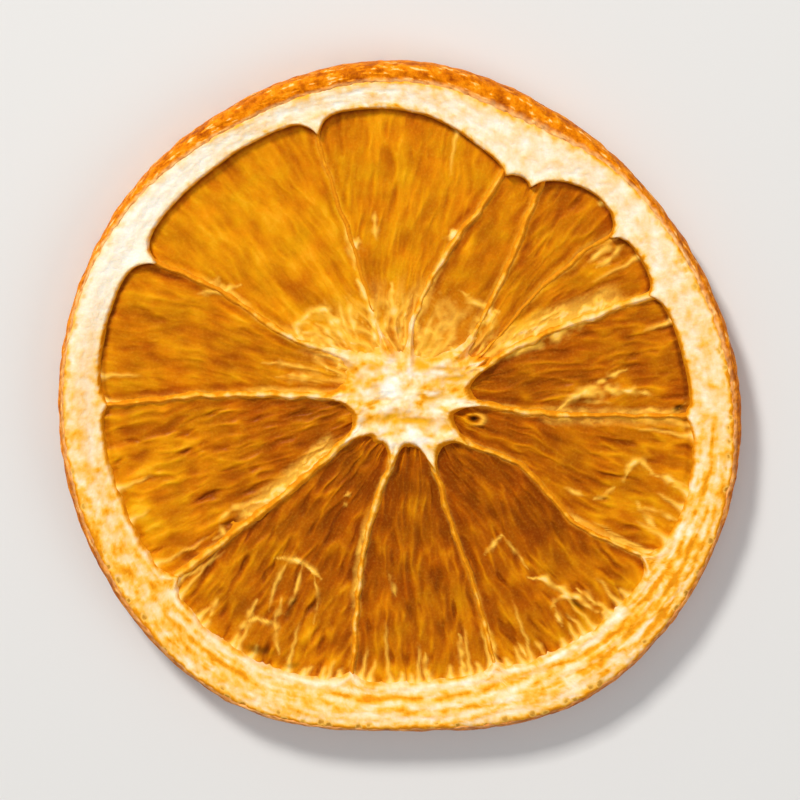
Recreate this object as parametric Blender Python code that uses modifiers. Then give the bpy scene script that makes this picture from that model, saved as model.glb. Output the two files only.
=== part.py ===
"""A dried orange slice lying flat: rind, pith ring, webs, core and the sunken flesh between them.

Everything is one closed solid. A plain turned blank is made first, with one column of faces for each step
round the slice and one ring of points for each station from the core to the rind. It is then carved: its
columns are led along the webs, its stations are led to the uneven edges of core, flesh and rind, and its
two faces are raised and sunk. Lengths are in millimetres up to the last step, which writes metres.

+X is the slice's longer way across, +Z is up, and the origin is under the middle of the slice.
"""

import math

import bpy
import numpy as np

# Driving sizes, in millimetres
SLICE_WIDTH = 64.0
RIM_HEIGHT = 4.6
FLESH_THICKNESS = 1.7
CORE_THICKNESS = 3.2
WARP_RISE = 0.3
WARP_HIGH_ANGLE = 52.0
FOOT_DEPTH = 0.12

# The rind's radius from the core, every 30 degrees from +X, counter-clockwise. The plan given by these
# radii and by the webs below is then stretched along Y.
RIM_RADII = (31.15, 29.35, 29.2, 30.45, 30.9, 31.8, 32.55, 33.2, 33.6, 31.95, 33.6, 32.65)
PLAN_STRETCH = 1.018

# Each web: its angle at the core, at 12 and 19 mm out and at the pith, in degrees, and how high it stands.
# Then the flesh after it, counter-clockwise: its edges at the pith and at the core, as radii.
WEB_RADII = (6.0, 12.0, 19.0, 26.5)
SECTIONS = (
    {"web": (-8.0, -8.5, -6.0, -4.5), "stands": 0.50, "pith": 25.9, "core": 6.2},
    {"web": (19.5, 23.0, 22.5, 22.0), "stands": 0.60, "pith": 25.2, "core": 6.4},
    {"web": (24.5, 35.0, 38.5, 37.5), "stands": 0.15, "pith": 25.4, "core": 6.4},
    {"web": (38.0, 48.0, 55.0, 59.0), "stands": 0.40, "pith": 23.2, "core": 4.5},
    {"web": (86.0, 76.5, 68.0, 65.5), "stands": 0.50, "pith": 26.0, "core": 4.0},
    {"web": (113.5, 110.5, 109.8, 109.0), "stands": 0.30, "pith": 27.6, "core": 5.9},
    {"web": (149.0, 154.0, 151.3, 152.5), "stands": 0.45, "pith": 28.7, "core": 6.2},
    {"web": (182.0, 180.5, 180.5, 182.0), "stands": 0.60, "pith": 28.3, "core": 5.8},
    {"web": (217.0, 219.5, 219.0, 218.3), "stands": 0.55, "pith": 28.7, "core": 5.5},
    {"web": (257.5, 253.8, 256.3, 259.0), "stands": 0.55, "pith": 27.0, "core": 5.1},
    {"web": (291.0, 289.0, 289.3, 288.0), "stands": 0.50, "pith": 28.2, "core": 6.2},
    {"web": (320.0, 327.5, 322.7, 325.5), "stands": 0.50, "pith": 27.7, "core": 5.0},
)
WEB_HALF_WIDTH = 0.5
WEB_FOOT_WIDTHS = 1.6
WEB_FOOT_MOST = 0.22
WEB_ROOT_LENGTH = 2.0
WEB_ROOT_HALF_WIDTH = 1.1
CORE_PETAL_LENGTH = 1.0
CORE_DROP_INSIDE = 1.1
CORE_DROP_OUTSIDE = 0.3

# How far in the drop from the pith to the flesh starts and ends, and the shape of the pith's face
PITH_DROP_INSIDE = 0.8
PITH_DROP_OUTSIDE = 0.5
PITH_INNER_SHARE = 0.62
PITH_CREST = 0.66
RIND_START = 0.80
RIND_BULGE = 2.4
FLESH_SAG = 0.14
PULP_RIPPLE = 0.07
PULP_WAVES = ((41, 0.35), (23, -0.6))
CORE_LUMP = 0.22
CORE_LUMP_WAVES = ((5, 0.8), (2, -1.1))
CORE_LUMP_PITCH = 0.7
CORE_LUMP_START = 3.0

# The blank: stations as nominal radii, and the columns of each section
CORE_EDGE = 6.0
FLESH_EDGE = 27.0
BLANK_RADIUS = 32.0
CORE_RINGS = 4
FLESH_STATIONS = (6.7, 8.0, 10.5, 13.0, 15.5, 18.0, 20.5, 23.0, 25.2, 26.3)
RIM_SHARES = (0.0, 0.10, 0.32, PITH_CREST, RIND_START, 0.91, 0.975)
COLUMN_WIDTH = 3.0
FEWEST_COLUMNS = 5

MM = 0.001
PLACING_PASSES = 4
SMALLEST_RADIUS = 0.1

ORANGE_RIND = (0.66, 0.21, 0.012, 1.0)
CREAM_PITH = (0.95, 0.74, 0.42, 1.0)
AMBER_FLESH = (0.60, 0.22, 0.008, 1.0)


def curve_through(knots, values, at):
    """A smooth curve through the values, read at the places given."""
    knots = np.asarray(knots, float)
    values = np.asarray(values, float)
    slopes = np.gradient(values, knots)
    left = np.clip(np.searchsorted(knots, at) - 1, 0, len(knots) - 2)
    span = knots[left + 1] - knots[left]
    share = np.clip((at - knots[left]) / span, 0.0, 1.0)
    rise = values[left + 1] - values[left]
    start = slopes[left] * span
    end = slopes[left + 1] * span
    bend = start * (1 - share) ** 2 * share - end * share**2 * (1 - share)
    return values[left] + rise * share**2 * (3 - 2 * share) + bend


def ring_curve(angles, values, at):
    """The same round a full turn, in degrees."""
    first = angles[0]
    around = np.mod(at - first, 360.0) + first
    turned = [a - 360.0 for a in angles[-2:]] + list(angles) + [a + 360.0 for a in angles[:3]]
    wrapped = list(values[-2:]) + list(values) + list(values[:3])
    return curve_through(turned, wrapped, around)


def ease(low, high, at):
    """0 up to low, 1 from high on, and smooth between them; low may be the larger."""
    share = np.clip((at - low) / (high - low), 0.0, 1.0)
    return share * share * (3 - 2 * share)


def rim_radius(angle):
    return ring_curve([30.0 * step for step in range(len(RIM_RADII))], RIM_RADII, angle)


def web_angle(number, radius):
    """Where a web lies at a radius. A number past the last one is a turn further on."""
    turns, index = divmod(number, len(SECTIONS))
    return curve_through(WEB_RADII, SECTIONS[index]["web"], radius) + 360.0 * turns


def web_distances(radius, angle):
    """How far a point is from each web, along the arc through it."""
    distances = []
    for number in range(len(SECTIONS)):
        off = np.mod(angle - web_angle(number, radius) + 180.0, 360.0) - 180.0
        distances.append(np.abs(np.radians(off)) * radius)
    return distances


def middle_angles(knot):
    """The middle of each section, in degrees, at one of the web's knots."""
    webs = [section["web"][knot] for section in SECTIONS]
    following = webs[1:] + [webs[0] + 360.0]
    return [(a + b) / 2 for a, b in zip(webs, following)]


def pith_edge(angle):
    """The radius where flesh meets pith, drawn in where a web roots in the pith."""
    edge = ring_curve(middle_angles(-1), [section["pith"] for section in SECTIONS], angle)
    for off in web_distances(WEB_RADII[-1], angle):
        edge = edge - WEB_ROOT_LENGTH * np.exp(-((off / WEB_ROOT_HALF_WIDTH) ** 2))
    return edge


def core_edge(angle):
    """The radius where flesh meets the core, with a petal along each web."""
    edge = ring_curve(middle_angles(0), [section["core"] for section in SECTIONS], angle)
    for off in web_distances(WEB_RADII[0], angle):
        edge = edge + CORE_PETAL_LENGTH * np.exp(-((off / WEB_HALF_WIDTH) ** 2))
    return edge


def flesh_half(radius, angle):
    """Half the flesh's thickness: it sags between core and pith, and ripples along its pulp."""
    sag = FLESH_SAG * np.sin(np.pi * np.clip((radius - CORE_EDGE) / (FLESH_EDGE - CORE_EDGE), 0, 1))
    turn = np.radians(angle)
    (many, lean), (few, lean_back) = PULP_WAVES
    ripple = np.sin(many * turn + lean * radius) * np.cos(few * turn + lean_back * radius)
    return FLESH_THICKNESS / 2 - sag + PULP_RIPPLE * ripple


def core_half(radius, angle):
    """Half the core's thickness: lumps that lean on one another round a shallow middle."""
    turn = np.radians(angle)
    (small, small_start), (broad, broad_start) = CORE_LUMP_WAVES
    lumps = np.cos(small * turn + small_start) * np.sin(CORE_LUMP_PITCH * radius)
    lumps = lumps + 0.6 * np.cos(broad * turn + broad_start)
    return CORE_THICKNESS / 2 + CORE_LUMP * lumps * ease(0.0, CORE_LUMP_START, radius)


def rim_half(share):
    """Half the rim's thickness, from the pith's inner edge at 0 to the rind's outside at 1."""
    crest = RIM_HEIGHT / 2
    face = crest * (PITH_INNER_SHARE + (1 - PITH_INNER_SHARE) * ease(0.0, PITH_CREST, share))
    turned = np.clip((share - RIND_START) / (1 - RIND_START), 0.0, 1.0)
    return face * (1 - turned**RIND_BULGE) ** (1 / RIND_BULGE)


def half_thickness(radius, angle):
    pith = pith_edge(angle)
    share = (radius - pith) / (rim_radius(angle) - pith)
    height = flesh_half(radius, angle)
    for section, off in zip(SECTIONS, web_distances(radius, angle)):
        height = height + section["stands"] * np.exp(-((off / WEB_HALF_WIDTH) ** 2))
    core = core_edge(angle)
    in_core = ease(core + CORE_DROP_OUTSIDE, core - CORE_DROP_INSIDE, radius)
    in_rim = ease(pith - PITH_DROP_INSIDE, pith + PITH_DROP_OUTSIDE, radius)
    height = height + (core_half(radius, angle) - height) * in_core
    return height + (rim_half(share) - height) * in_rim


def warp(radius, angle):
    """The saddle that the slice dried into."""
    turn = np.radians(2 * (angle - WARP_HIGH_ANGLE))
    return WARP_RISE * (radius / BLANK_RADIUS) ** 2 * np.cos(turn)


def column_counts():
    """How many columns each section has: one for each few degrees at the pith."""
    webs = [web_angle(number, WEB_RADII[-1]) for number in range(len(SECTIONS) + 1)]
    widths = np.diff(webs)
    return [max(FEWEST_COLUMNS, round(width / COLUMN_WIDTH)) for width in widths]


def blank_profile():
    """The blank's half section as (radius, height): out along the top, round the rind, back below."""
    core = [CORE_EDGE * ring / CORE_RINGS for ring in range(CORE_RINGS + 1)]
    rim = [FLESH_EDGE + share * (BLANK_RADIUS - FLESH_EDGE) for share in RIM_SHARES]
    top = [(radius, FLESH_THICKNESS / 2) for radius in core + list(FLESH_STATIONS)]
    top += [(radius, float(rim_half(share))) for radius, share in zip(rim, RIM_SHARES)]
    below = [(radius, -height) for radius, height in reversed(top)]
    return top + [(BLANK_RADIUS, 0.0)] + below


def turned_blank(columns):
    """The plain disc, turned from its profile, as a mesh whose points can be moved."""
    profile = blank_profile()
    points = [(radius, 0.0, height) for radius, height in profile]
    edges = [(step, step + 1) for step in range(len(profile) - 1)]
    outline = bpy.data.meshes.new("blank_profile")
    outline.from_pydata(points, edges, [])
    blank = bpy.data.objects.new("blank", outline)
    bpy.context.scene.collection.objects.link(blank)
    screw = blank.modifiers.new("turn", "SCREW")
    screw.axis = "Z"
    screw.angle = math.tau
    screw.steps = columns
    screw.render_steps = columns
    screw.use_merge_vertices = True
    screw.merge_threshold = 0.0001
    bpy.context.view_layer.update()
    graph = bpy.context.evaluated_depsgraph_get()
    mesh = bpy.data.meshes.new_from_object(blank.evaluated_get(graph))
    bpy.data.objects.remove(blank)
    bpy.data.meshes.remove(outline)
    return mesh


def real_angles(column, radius, counts):
    """Each column's angle at a radius: the first of a section is its web, its neighbours the web's feet."""
    starts = np.concatenate([[0], np.cumsum(counts)])
    angle = np.zeros_like(radius)
    for number, count in enumerate(counts):
        inside = (column >= starts[number]) & (column < starts[number + 1])
        step = column[inside] - starts[number]
        left = web_angle(number, radius[inside])
        width = web_angle(number + 1, radius[inside]) - left
        foot = np.degrees(WEB_HALF_WIDTH * WEB_FOOT_WIDTHS / radius[inside])
        foot = np.minimum(foot, WEB_FOOT_MOST * width)
        spread = foot + (width - 2 * foot) * (step - 1) / (count - 2)
        angle[inside] = left + np.where(step == 0, 0.0, spread)
    return angle


def real_radii(nominal, angle):
    """The blank's stations led to the real edges of core, flesh and rind."""
    core = core_edge(angle)
    pith = pith_edge(angle)
    in_core = nominal / CORE_EDGE * core
    in_flesh = core + (nominal - CORE_EDGE) / (FLESH_EDGE - CORE_EDGE) * (pith - core)
    in_rim = pith + (nominal - FLESH_EDGE) / (BLANK_RADIUS - FLESH_EDGE) * (rim_radius(angle) - pith)
    return np.where(nominal < CORE_EDGE, in_core, np.where(nominal < FLESH_EDGE, in_flesh, in_rim))


def carved(points, counts):
    """The blank's points, moved to where the slice has them."""
    columns = sum(counts)
    nominal = np.hypot(points[:, 0], points[:, 1])
    turn = np.degrees(np.arctan2(points[:, 1], points[:, 0]))
    column = np.mod(np.round(turn * columns / 360.0), columns)
    radius = np.maximum(nominal, SMALLEST_RADIUS)
    for _ in range(PLACING_PASSES):
        angle = real_angles(column, radius, counts)
        radius = np.maximum(real_radii(nominal, angle), SMALLEST_RADIUS)
    radius = np.where(nominal < SMALLEST_RADIUS, 0.0, radius)
    side = np.sign(np.round(points[:, 2], 4))
    height = warp(radius, angle) + side * half_thickness(radius, angle)
    around = np.radians(angle)
    return np.column_stack([radius * np.cos(around), PLAN_STRETCH * radius * np.sin(around), height])


def settled(points):
    """Sized to the slice's width, standing on a narrow flat foot, with its middle over the origin."""
    points = points * (SLICE_WIDTH / np.ptp(points[:, 0]))
    floor = points[:, 2].min() + FOOT_DEPTH
    points[:, 2] = np.maximum(points[:, 2], floor) - floor
    points[:, :2] -= (points[:, :2].min(axis=0) + points[:, :2].max(axis=0)) / 2
    return points


def plain_material(name, colour, roughness):
    material = bpy.data.materials.new(name)
    material.use_nodes = True
    material.diffuse_color = colour
    shader = material.node_tree.nodes["Principled BSDF"]
    shader.inputs["Base Color"].default_value = colour
    shader.inputs["Roughness"].default_value = roughness
    shader.inputs["Metallic"].default_value = 0.0
    return material


def paint(mesh, nominal, column, counts):
    """Rind, pith and flesh by where each face lay on the blank."""
    mesh.materials.append(plain_material("amber_flesh", AMBER_FLESH, 0.45))
    mesh.materials.append(plain_material("cream_pith", CREAM_PITH, 0.75))
    mesh.materials.append(plain_material("orange_rind", ORANGE_RIND, 0.55))
    starts = {int(start) for start in np.cumsum([0] + list(counts[:-1]))}
    rind = FLESH_EDGE + RIND_START * (BLANK_RADIUS - FLESH_EDGE)
    for face in mesh.polygons:
        middle = np.mean([nominal[corner] for corner in face.vertices])
        on_web = any(int(column[corner]) in starts for corner in face.vertices)
        if middle > rind:
            face.material_index = 2
        elif middle > FLESH_EDGE or middle < CORE_EDGE or on_web:
            face.material_index = 1


def make_slice(collection):
    counts = column_counts()
    mesh = turned_blank(sum(counts))
    mesh.name = "orange_slice"
    flat = np.empty(len(mesh.vertices) * 3)
    mesh.vertices.foreach_get("co", flat)
    points = flat.reshape(-1, 3)
    nominal = np.hypot(points[:, 0], points[:, 1])
    turn = np.degrees(np.arctan2(points[:, 1], points[:, 0]))
    column = np.mod(np.round(turn * sum(counts) / 360.0), sum(counts))
    paint(mesh, nominal, column, counts)
    mesh.vertices.foreach_set("co", (settled(carved(points, counts)) * MM).ravel())
    mesh.update()
    mesh.shade_smooth()
    mesh.set_sharp_from_angle(angle=math.radians(50))
    orange_slice = bpy.data.objects.new("orange_slice", mesh)
    collection.objects.link(orange_slice)
    return orange_slice


def main():
    for old in list(bpy.data.objects):
        bpy.data.objects.remove(old)
    collection = bpy.data.collections.new("dried_orange_slice")
    bpy.context.scene.collection.children.link(collection)
    make_slice(collection)


main()
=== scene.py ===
# A dried orange slice lying flat: rind, pith ring, core with its webs, and twelve sections of flesh.
# Lengths are in millimetres and angles in degrees until a mesh is written.
import math

import bpy
import bmesh
import numpy as np
from mathutils import Matrix, Vector


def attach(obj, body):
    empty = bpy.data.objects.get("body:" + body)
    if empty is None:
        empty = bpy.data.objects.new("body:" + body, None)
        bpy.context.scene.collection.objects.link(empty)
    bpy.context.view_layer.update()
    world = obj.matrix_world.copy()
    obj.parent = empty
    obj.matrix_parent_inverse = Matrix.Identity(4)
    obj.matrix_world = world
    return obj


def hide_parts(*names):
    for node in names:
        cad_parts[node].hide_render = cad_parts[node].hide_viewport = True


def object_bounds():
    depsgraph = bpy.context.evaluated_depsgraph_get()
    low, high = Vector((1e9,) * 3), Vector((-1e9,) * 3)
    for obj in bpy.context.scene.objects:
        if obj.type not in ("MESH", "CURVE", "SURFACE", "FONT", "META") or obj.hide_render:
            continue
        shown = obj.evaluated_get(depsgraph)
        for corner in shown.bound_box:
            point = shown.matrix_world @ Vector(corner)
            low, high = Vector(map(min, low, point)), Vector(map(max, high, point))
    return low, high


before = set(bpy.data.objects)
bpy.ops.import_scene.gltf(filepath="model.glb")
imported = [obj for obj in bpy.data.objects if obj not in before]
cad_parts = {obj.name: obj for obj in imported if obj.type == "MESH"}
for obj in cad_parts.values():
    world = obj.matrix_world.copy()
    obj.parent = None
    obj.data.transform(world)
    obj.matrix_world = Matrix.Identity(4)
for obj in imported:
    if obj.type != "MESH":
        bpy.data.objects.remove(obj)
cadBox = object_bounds()
print("frame loaded")

mm = 0.001
top, under = 1, -1

# The slice's own form, the same as the solid's
sliceForm = {
    "rimHeight": 4.6,
    "fleshThickness": 1.7,
    "coreThickness": 3.2,
    "fleshSag": 0.14,         # how far each face of the flesh sags between these two radii
    "innerRadius": 6.0,
    "outerRadius": 27.0,
    "innerLevel": 0.62,       # how high the pith's inner edge lies, as a share of the rim's crest
    "crestAt": 0.66,          # where the rim's face reaches its crest, as a share of the way out
    "turnStart": 0.80,        # where it starts to turn down, over how much of the way, and how squarely
    "turnLength": 0.20,
    "turnPower": 2.4,
    "warpRise": 0.3,
    "warpHighAngle": 52.0,
    "warpRadius": 32.0,
    "footDepth": 0.12,
    "skinRadius": 31.5,       # where lengths round the rim are measured
    "planStretch": 1.018,     # the plan below is as seen leaning back, which shortens it along Y
    # the rind's radius from the core, every 30 degrees from +X, counter-clockwise
    "rimRadii": (31.15, 29.35, 29.2, 30.45, 30.9, 31.8, 32.55, 33.2, 33.6, 31.95, 33.6, 32.65),
    # where the rind starts, as a share of the way from the flesh to the rim, at the same angles
    "rindEdges": (0.81, 0.80, 0.71, 0.60, 0.54, 0.80, 0.85, 0.84, 0.88, 0.89, 0.89, 0.88),
    # radii where each web's angle, width and paleness are given
    "webRadii": (6.0, 12.0, 19.0, 26.5),
}


def rowsOf(names, *rows):
    # a dictionary for each row, keyed by the names of the columns; a row may leave out the last ones
    return [dict(zip(names.split(), row)) for row in rows]


# The webs, counter-clockwise: angles, how far pith runs in along the web, how high it stands, its half
# widths, and how pale it is
webs = rowsOf(
    "line root stands wide pale",
    ((-8.0, -8.5, -6.0, -4.5), 0.9, 0.45, (0.34, 0.44, 0.26, 0.26), (0.52, 0.74, 0.26, 0.38)),
    ((19.5, 23.0, 22.5, 22.0), 1.1, 0.50, (0.38, 0.44, 0.44, 0.40), (0.82, 0.62, 0.84, 0.78)),
    ((24.5, 35.0, 38.5, 37.5), 1.6, 0.20, (0.20, 0.22, 0.42, 0.46), (0.22, 0.12, 0.30, 0.40)),
    ((38.0, 48.0, 55.0, 59.0), 1.2, 0.36, (0.32, 0.32, 0.42, 0.28), (0.93, 0.58, 0.43, 0.40)),
    ((86.0, 76.5, 68.0, 65.5), 0.9, 0.42, (0.34, 0.36, 0.36, 0.32), (0.76, 0.70, 0.42, 0.50)),
    ((113.5, 110.5, 109.8, 109.0), 1.8, 0.24, (0.36, 0.30, 0.26, 0.30), (0.66, 0.05, 0.22, 0.22)),
    ((149.0, 154.0, 151.3, 152.5), 2.3, 0.42, (0.42, 0.40, 0.34, 0.28), (0.76, 0.84, 0.34, 0.26)),
    ((182.0, 180.5, 180.5, 182.0), 0.8, 0.50, (0.40, 0.38, 0.36, 0.32), (1.12, 0.80, 0.66, 0.20)),
    ((217.0, 219.5, 219.0, 218.3), 1.6, 0.50, (0.38, 0.42, 0.42, 0.42), (0.86, 0.46, 0.56, 0.60)),
    ((257.5, 253.8, 256.3, 259.0), 1.2, 0.50, (0.36, 0.38, 0.34, 0.30), (1.25, 0.56, 0.68, 0.46)),
    ((291.0, 289.0, 289.3, 288.0), 1.1, 0.45, (0.36, 0.32, 0.28, 0.30), (0.62, 0.22, 0.38, 0.62)),
    ((320.0, 327.5, 322.7, 325.5), 1.8, 0.45, (0.34, 0.34, 0.30, 0.34), (0.80, 0.38, 0.36, 0.76)),
)

# The flesh after each web: its edges at pith and core, how bright it is near the core and near the pith,
# and how coarse its pulp is
sections = rowsOf(
    "pith core inner outer coarse",
    (25.9, 6.2, 0.10, 0.31, 0.8),
    (25.2, 6.4, 0.62, 0.36, 0.6),
    (25.4, 6.4, 0.44, 0.34, 0.6),
    (23.2, 4.5, 0.44, 0.50, 0.4),
    (26.0, 4.0, 0.58, 0.54, 0.4),
    (27.6, 5.9, 0.70, 0.58, 0.2),
    (28.7, 6.2, 0.50, 0.44, 0.4),
    (28.3, 5.8, 0.16, 0.43, 1.0),
    (28.7, 5.5, 0.03, 0.29, 1.0),
    (27.0, 5.1, 0.00, 0.27, 0.9),
    (28.2, 6.2, 0.01, 0.29, 0.9),
    (27.7, 5.0, 0.16, 0.42, 0.8),
)


def curveThrough(knots, values, at):
    # a smooth curve through the values, read at the places given
    knots = np.asarray(knots, float)
    values = np.asarray(values, float)
    slopes = np.gradient(values, knots)
    left = np.clip(np.searchsorted(knots, at) - 1, 0, len(knots) - 2)
    span = knots[left + 1] - knots[left]
    share = np.clip((at - knots[left]) / span, 0.0, 1.0)
    rise = values[left + 1] - values[left]
    start = slopes[left] * span
    end = slopes[left + 1] * span
    bend = start * (1 - share) ** 2 * share - end * share**2 * (1 - share)
    return values[left] + rise * share**2 * (3 - 2 * share) + bend


def ringCurve(angles, values, at):
    # the same round a full turn
    around = np.mod(at - angles[0], 360.0) + angles[0]
    turned = [a - 360.0 for a in angles[-2:]] + list(angles) + [a + 360.0 for a in angles[:3]]
    return curveThrough(turned, list(values[-2:]) + list(values) + list(values[:3]), around)


def ease(low, high, at):
    # 0 up to low, 1 from high on; low may be the larger
    share = np.clip((at - low) / (high - low), 0.0, 1.0)
    return share * share * (3 - 2 * share)


def bell(away, width):
    # 1 where away is nought, falling off on both sides over about the width
    return np.exp(-((away / width) ** 2))


def mix(a, b, share):
    return a + (b - a) * share


def hashed(ix, iy, seed):
    # a repeatable random number from 0 to 1 for each lattice point
    number = ix.astype(np.int64) * 374761393 + iy.astype(np.int64) * 668265263 + seed * 974634777
    number = number & 0xFFFFFFFF
    number = ((number ^ (number >> 13)) * 1274126177) & 0xFFFFFFFF
    return ((number ^ (number >> 16)) & 0xFFFFFF) / 0xFFFFFF


def noise(x, y, seed):
    # smooth hills and hollows of about one unit across, from -1 to 1
    ix, iy = np.floor(x), np.floor(y)
    fx, fy = x - ix, y - iy
    easedX = fx * fx * fx * (fx * (fx * 6 - 15) + 10)
    easedY = fy * fy * fy * (fy * (fy * 6 - 15) + 10)
    corner = {}
    for dx in (0, 1):
        for dy in (0, 1):
            way = 2 * math.pi * hashed(ix + dx, iy + dy, seed)
            corner[dx, dy] = np.cos(way) * (fx - dx) + np.sin(way) * (fy - dy)
    low = mix(corner[0, 0], corner[1, 0], easedX)
    high = mix(corner[0, 1], corner[1, 1], easedX)
    return 1.5 * mix(low, high, easedY)


def hills(x, y, seed, wide, long=None, layers=1):
    # noise with hills of the size given, and with each further layer half that size and height
    x, y = x / wide, y / (long or wide)
    total = np.zeros_like(x)
    for layer in range(layers):
        total += noise(x * 2**layer, y * 2**layer, seed + 17 * layer) / 2**layer
    return total


def waves(look, x, y, seed, layers=1):
    # hills whose height and size, or height, width and length, are given together
    return look[0] * hills(x, y, seed, *look[1:], layers=layers)


def ringHills(angle, seed, radius):
    # hills of about a millimetre on a ring of this radius, with no seam where it closes
    turn = np.radians(angle)
    return hills(radius * np.cos(turn), radius * np.sin(turn), seed, 1, layers=3)


def cells(x, y, seed):
    # packed cells of about one unit: distances to the wall and to the middle, and a random number for
    # each cell
    ix, iy = np.floor(x), np.floor(y)
    near = np.full(x.shape, 9.0)
    second = np.full(x.shape, 9.0)
    own = np.zeros(x.shape)
    for dx in (-1, 0, 1):
        for dy in (-1, 0, 1):
            cx, cy = ix + dx, iy + dy
            away = np.hypot(cx + hashed(cx, cy, seed) - x, cy + hashed(cx, cy, seed + 1) - y)
            closer = away < near
            second = np.where(closer, near, np.minimum(second, away))
            own = np.where(closer, hashed(cx, cy, seed + 2), own)
            near = np.where(closer, away, near)
    return second - near, near, own


def seedFor(start, side, apart=200):
    # the underside has its own grain
    return start if side == top else start + apart


# Plan of the slice

edgeForm = {
    "webWander": 0.16,        # how far a web wanders off its line
    "webWanderLength": 1.7,
    "webRootWidth": 0.80,
    "rootTear": 0.10,
    "corePetal": 2.4,         # how far the core runs out along a web
    "corePetalWidth": 0.42,
    "smoothScallop": 0.05,    # how uneven the pith's inner edge is at the top and at the bottom
    "roughScallop": 0.20,
    "coreScallop": 0.18,
    "rindScallop": 0.020,     # how uneven the rind's inner edge is, as shares of the rim, coarse to fine
    "rindRagged": 0.026,
    "rindFine": 0.012,
}


def everyThirty(values, angle):
    return ringCurve([30.0 * number for number in range(len(values))], values, angle)


def rimRadius(angle):
    return everyThirty(sliceForm["rimRadii"], angle)


def rindEdge(angle):
    turn = np.radians(angle)
    ragged = edgeForm["rindScallop"] * ringHills(angle, 83, 11)
    ragged = ragged + edgeForm["rindRagged"] * noise(turn * 36, turn * 0, 84)
    ragged = ragged + edgeForm["rindFine"] * noise(turn * 80, turn * 0, 85)
    return everyThirty(sliceForm["rindEdges"], angle) + ragged


def webAngle(number, radius):
    # a number past the last web is a turn further on
    turns, index = divmod(number, len(webs))
    line = curveThrough(sliceForm["webRadii"], webs[index]["line"], radius) + 360.0 * turns
    wander = noise(radius / edgeForm["webWanderLength"], np.full_like(radius, 3.7 * index), 5)
    return line + np.degrees(edgeForm["webWander"] * wander / np.maximum(radius, 4.0))


def fromWeb(number, radius, angle):
    # distance from a web's line
    off = np.mod(angle - webAngle(number, radius) + 180.0, 360.0) - 180.0
    return np.abs(np.radians(off)) * radius


def webLine(number, key, radius):
    return np.interp(radius, sliceForm["webRadii"], webs[number % len(webs)][key])


def middleAngles(knot):
    lines = [web["line"][knot] for web in webs]
    return [(a + b) / 2 for a, b in zip(lines, lines[1:] + [lines[0] + 360.0])]


def pithRing(angle):
    # the pith's inner edge without its scallops and web roots
    return ringCurve(middleAngles(-1), [section["pith"] for section in sections], angle)


def pithEdge(angle):
    turn = np.radians(angle)
    rough = mix(edgeForm["smoothScallop"], edgeForm["roughScallop"], ease(0.3, -0.8, np.sin(turn)))
    edge = pithRing(angle) + rough * ringHills(angle, 31, 11)
    torn = 1 + edgeForm["rootTear"] * noise(turn * 40, turn * 0, 33)
    outer = np.full_like(angle, sliceForm["webRadii"][-1])
    for number, web in enumerate(webs):
        edge = edge - web["root"] * torn * np.exp(-fromWeb(number, outer, angle) / edgeForm["webRootWidth"])
    return edge


def coreRing(angle):
    # the core's edge without its petals
    edge = ringCurve(middleAngles(0), [section["core"] for section in sections], angle)
    return edge + edgeForm["coreScallop"] * ringHills(angle, 47, 5)


def coreEdge(angle):
    inner = np.full_like(angle, sliceForm["webRadii"][0])
    nearest = np.min([fromWeb(number, inner, angle) for number in range(len(webs))], axis=0)
    return coreRing(angle) + edgeForm["corePetal"] * np.exp(-nearest / edgeForm["corePetalWidth"])


def northSide(angle):
    # 1 where the core's edge frays out into the flesh, at its top
    around = np.mod(angle, 360.0)
    return ease(19.0, 38.0, around) * ease(180.0, 160.0, around)


def fleshLevel(radius):
    # half the flesh's thickness before its pulp
    start, end = sliceForm["innerRadius"], sliceForm["outerRadius"]
    sag = sliceForm["fleshSag"] * np.sin(np.pi * np.clip((radius - start) / (end - start), 0, 1))
    return sliceForm["fleshThickness"] / 2 - sag


def rimLevel(share):
    # half the rim's thickness, from the pith's inner edge at 0 to the rind's outside at 1
    form, power = sliceForm, sliceForm["turnPower"]
    face = form["rimHeight"] / 2 * mix(form["innerLevel"], 1.0, ease(0.0, form["crestAt"], share))
    turned = np.clip((share - form["turnStart"]) / form["turnLength"], 0.0, 1.0)
    return face * (1 - turned**power) ** (1 / power)


def warp(radius, angle):
    turn = np.radians(2 * (angle - sliceForm["warpHighAngle"]))
    return sliceForm["warpRise"] * (radius / sliceForm["warpRadius"]) ** 2 * np.cos(turn)


def flat(radius, angle):
    # plan place in millimetres from the core
    return radius * np.cos(np.radians(angle)), radius * np.sin(np.radians(angle))


# From the slice's plan to the place of the solid

def placeOnSolid():
    around = np.arange(0.0, 360.0, 0.25)
    radius = rimRadius(around)
    x, y = flat(radius, around)
    y = y * sliceForm["planStretch"]
    width = (cadBox[1][0] - cadBox[0][0]) / mm
    scale = width / np.ptp(x)
    middle = ((x.min() + x.max()) / 2 * scale, (y.min() + y.max()) / 2 * scale)
    pith = pithEdge(around)
    lowest = 0.0
    for share in (0.5, 0.6, 0.66, 0.72, 0.8):  # about the rim's crest
        at = pith + share * (radius - pith)
        lowest = min(lowest, float((warp(at, around) - rimLevel(np.full_like(at, share))).min()))
    return scale, middle, lowest * scale + sliceForm["footDepth"]


scaleToSolid, solidMiddle, footLevel = placeOnSolid()


def placed(radius, angle, height):
    x, y = flat(radius, angle)
    x = x * scaleToSolid - solidMiddle[0]
    y = y * sliceForm["planStretch"] * scaleToSolid - solidMiddle[1]
    z = np.maximum((warp(radius, angle) + height) * scaleToSolid, footLevel) - footLevel
    return np.stack([x, y, z], axis=-1) * mm


# Mesh making

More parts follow.
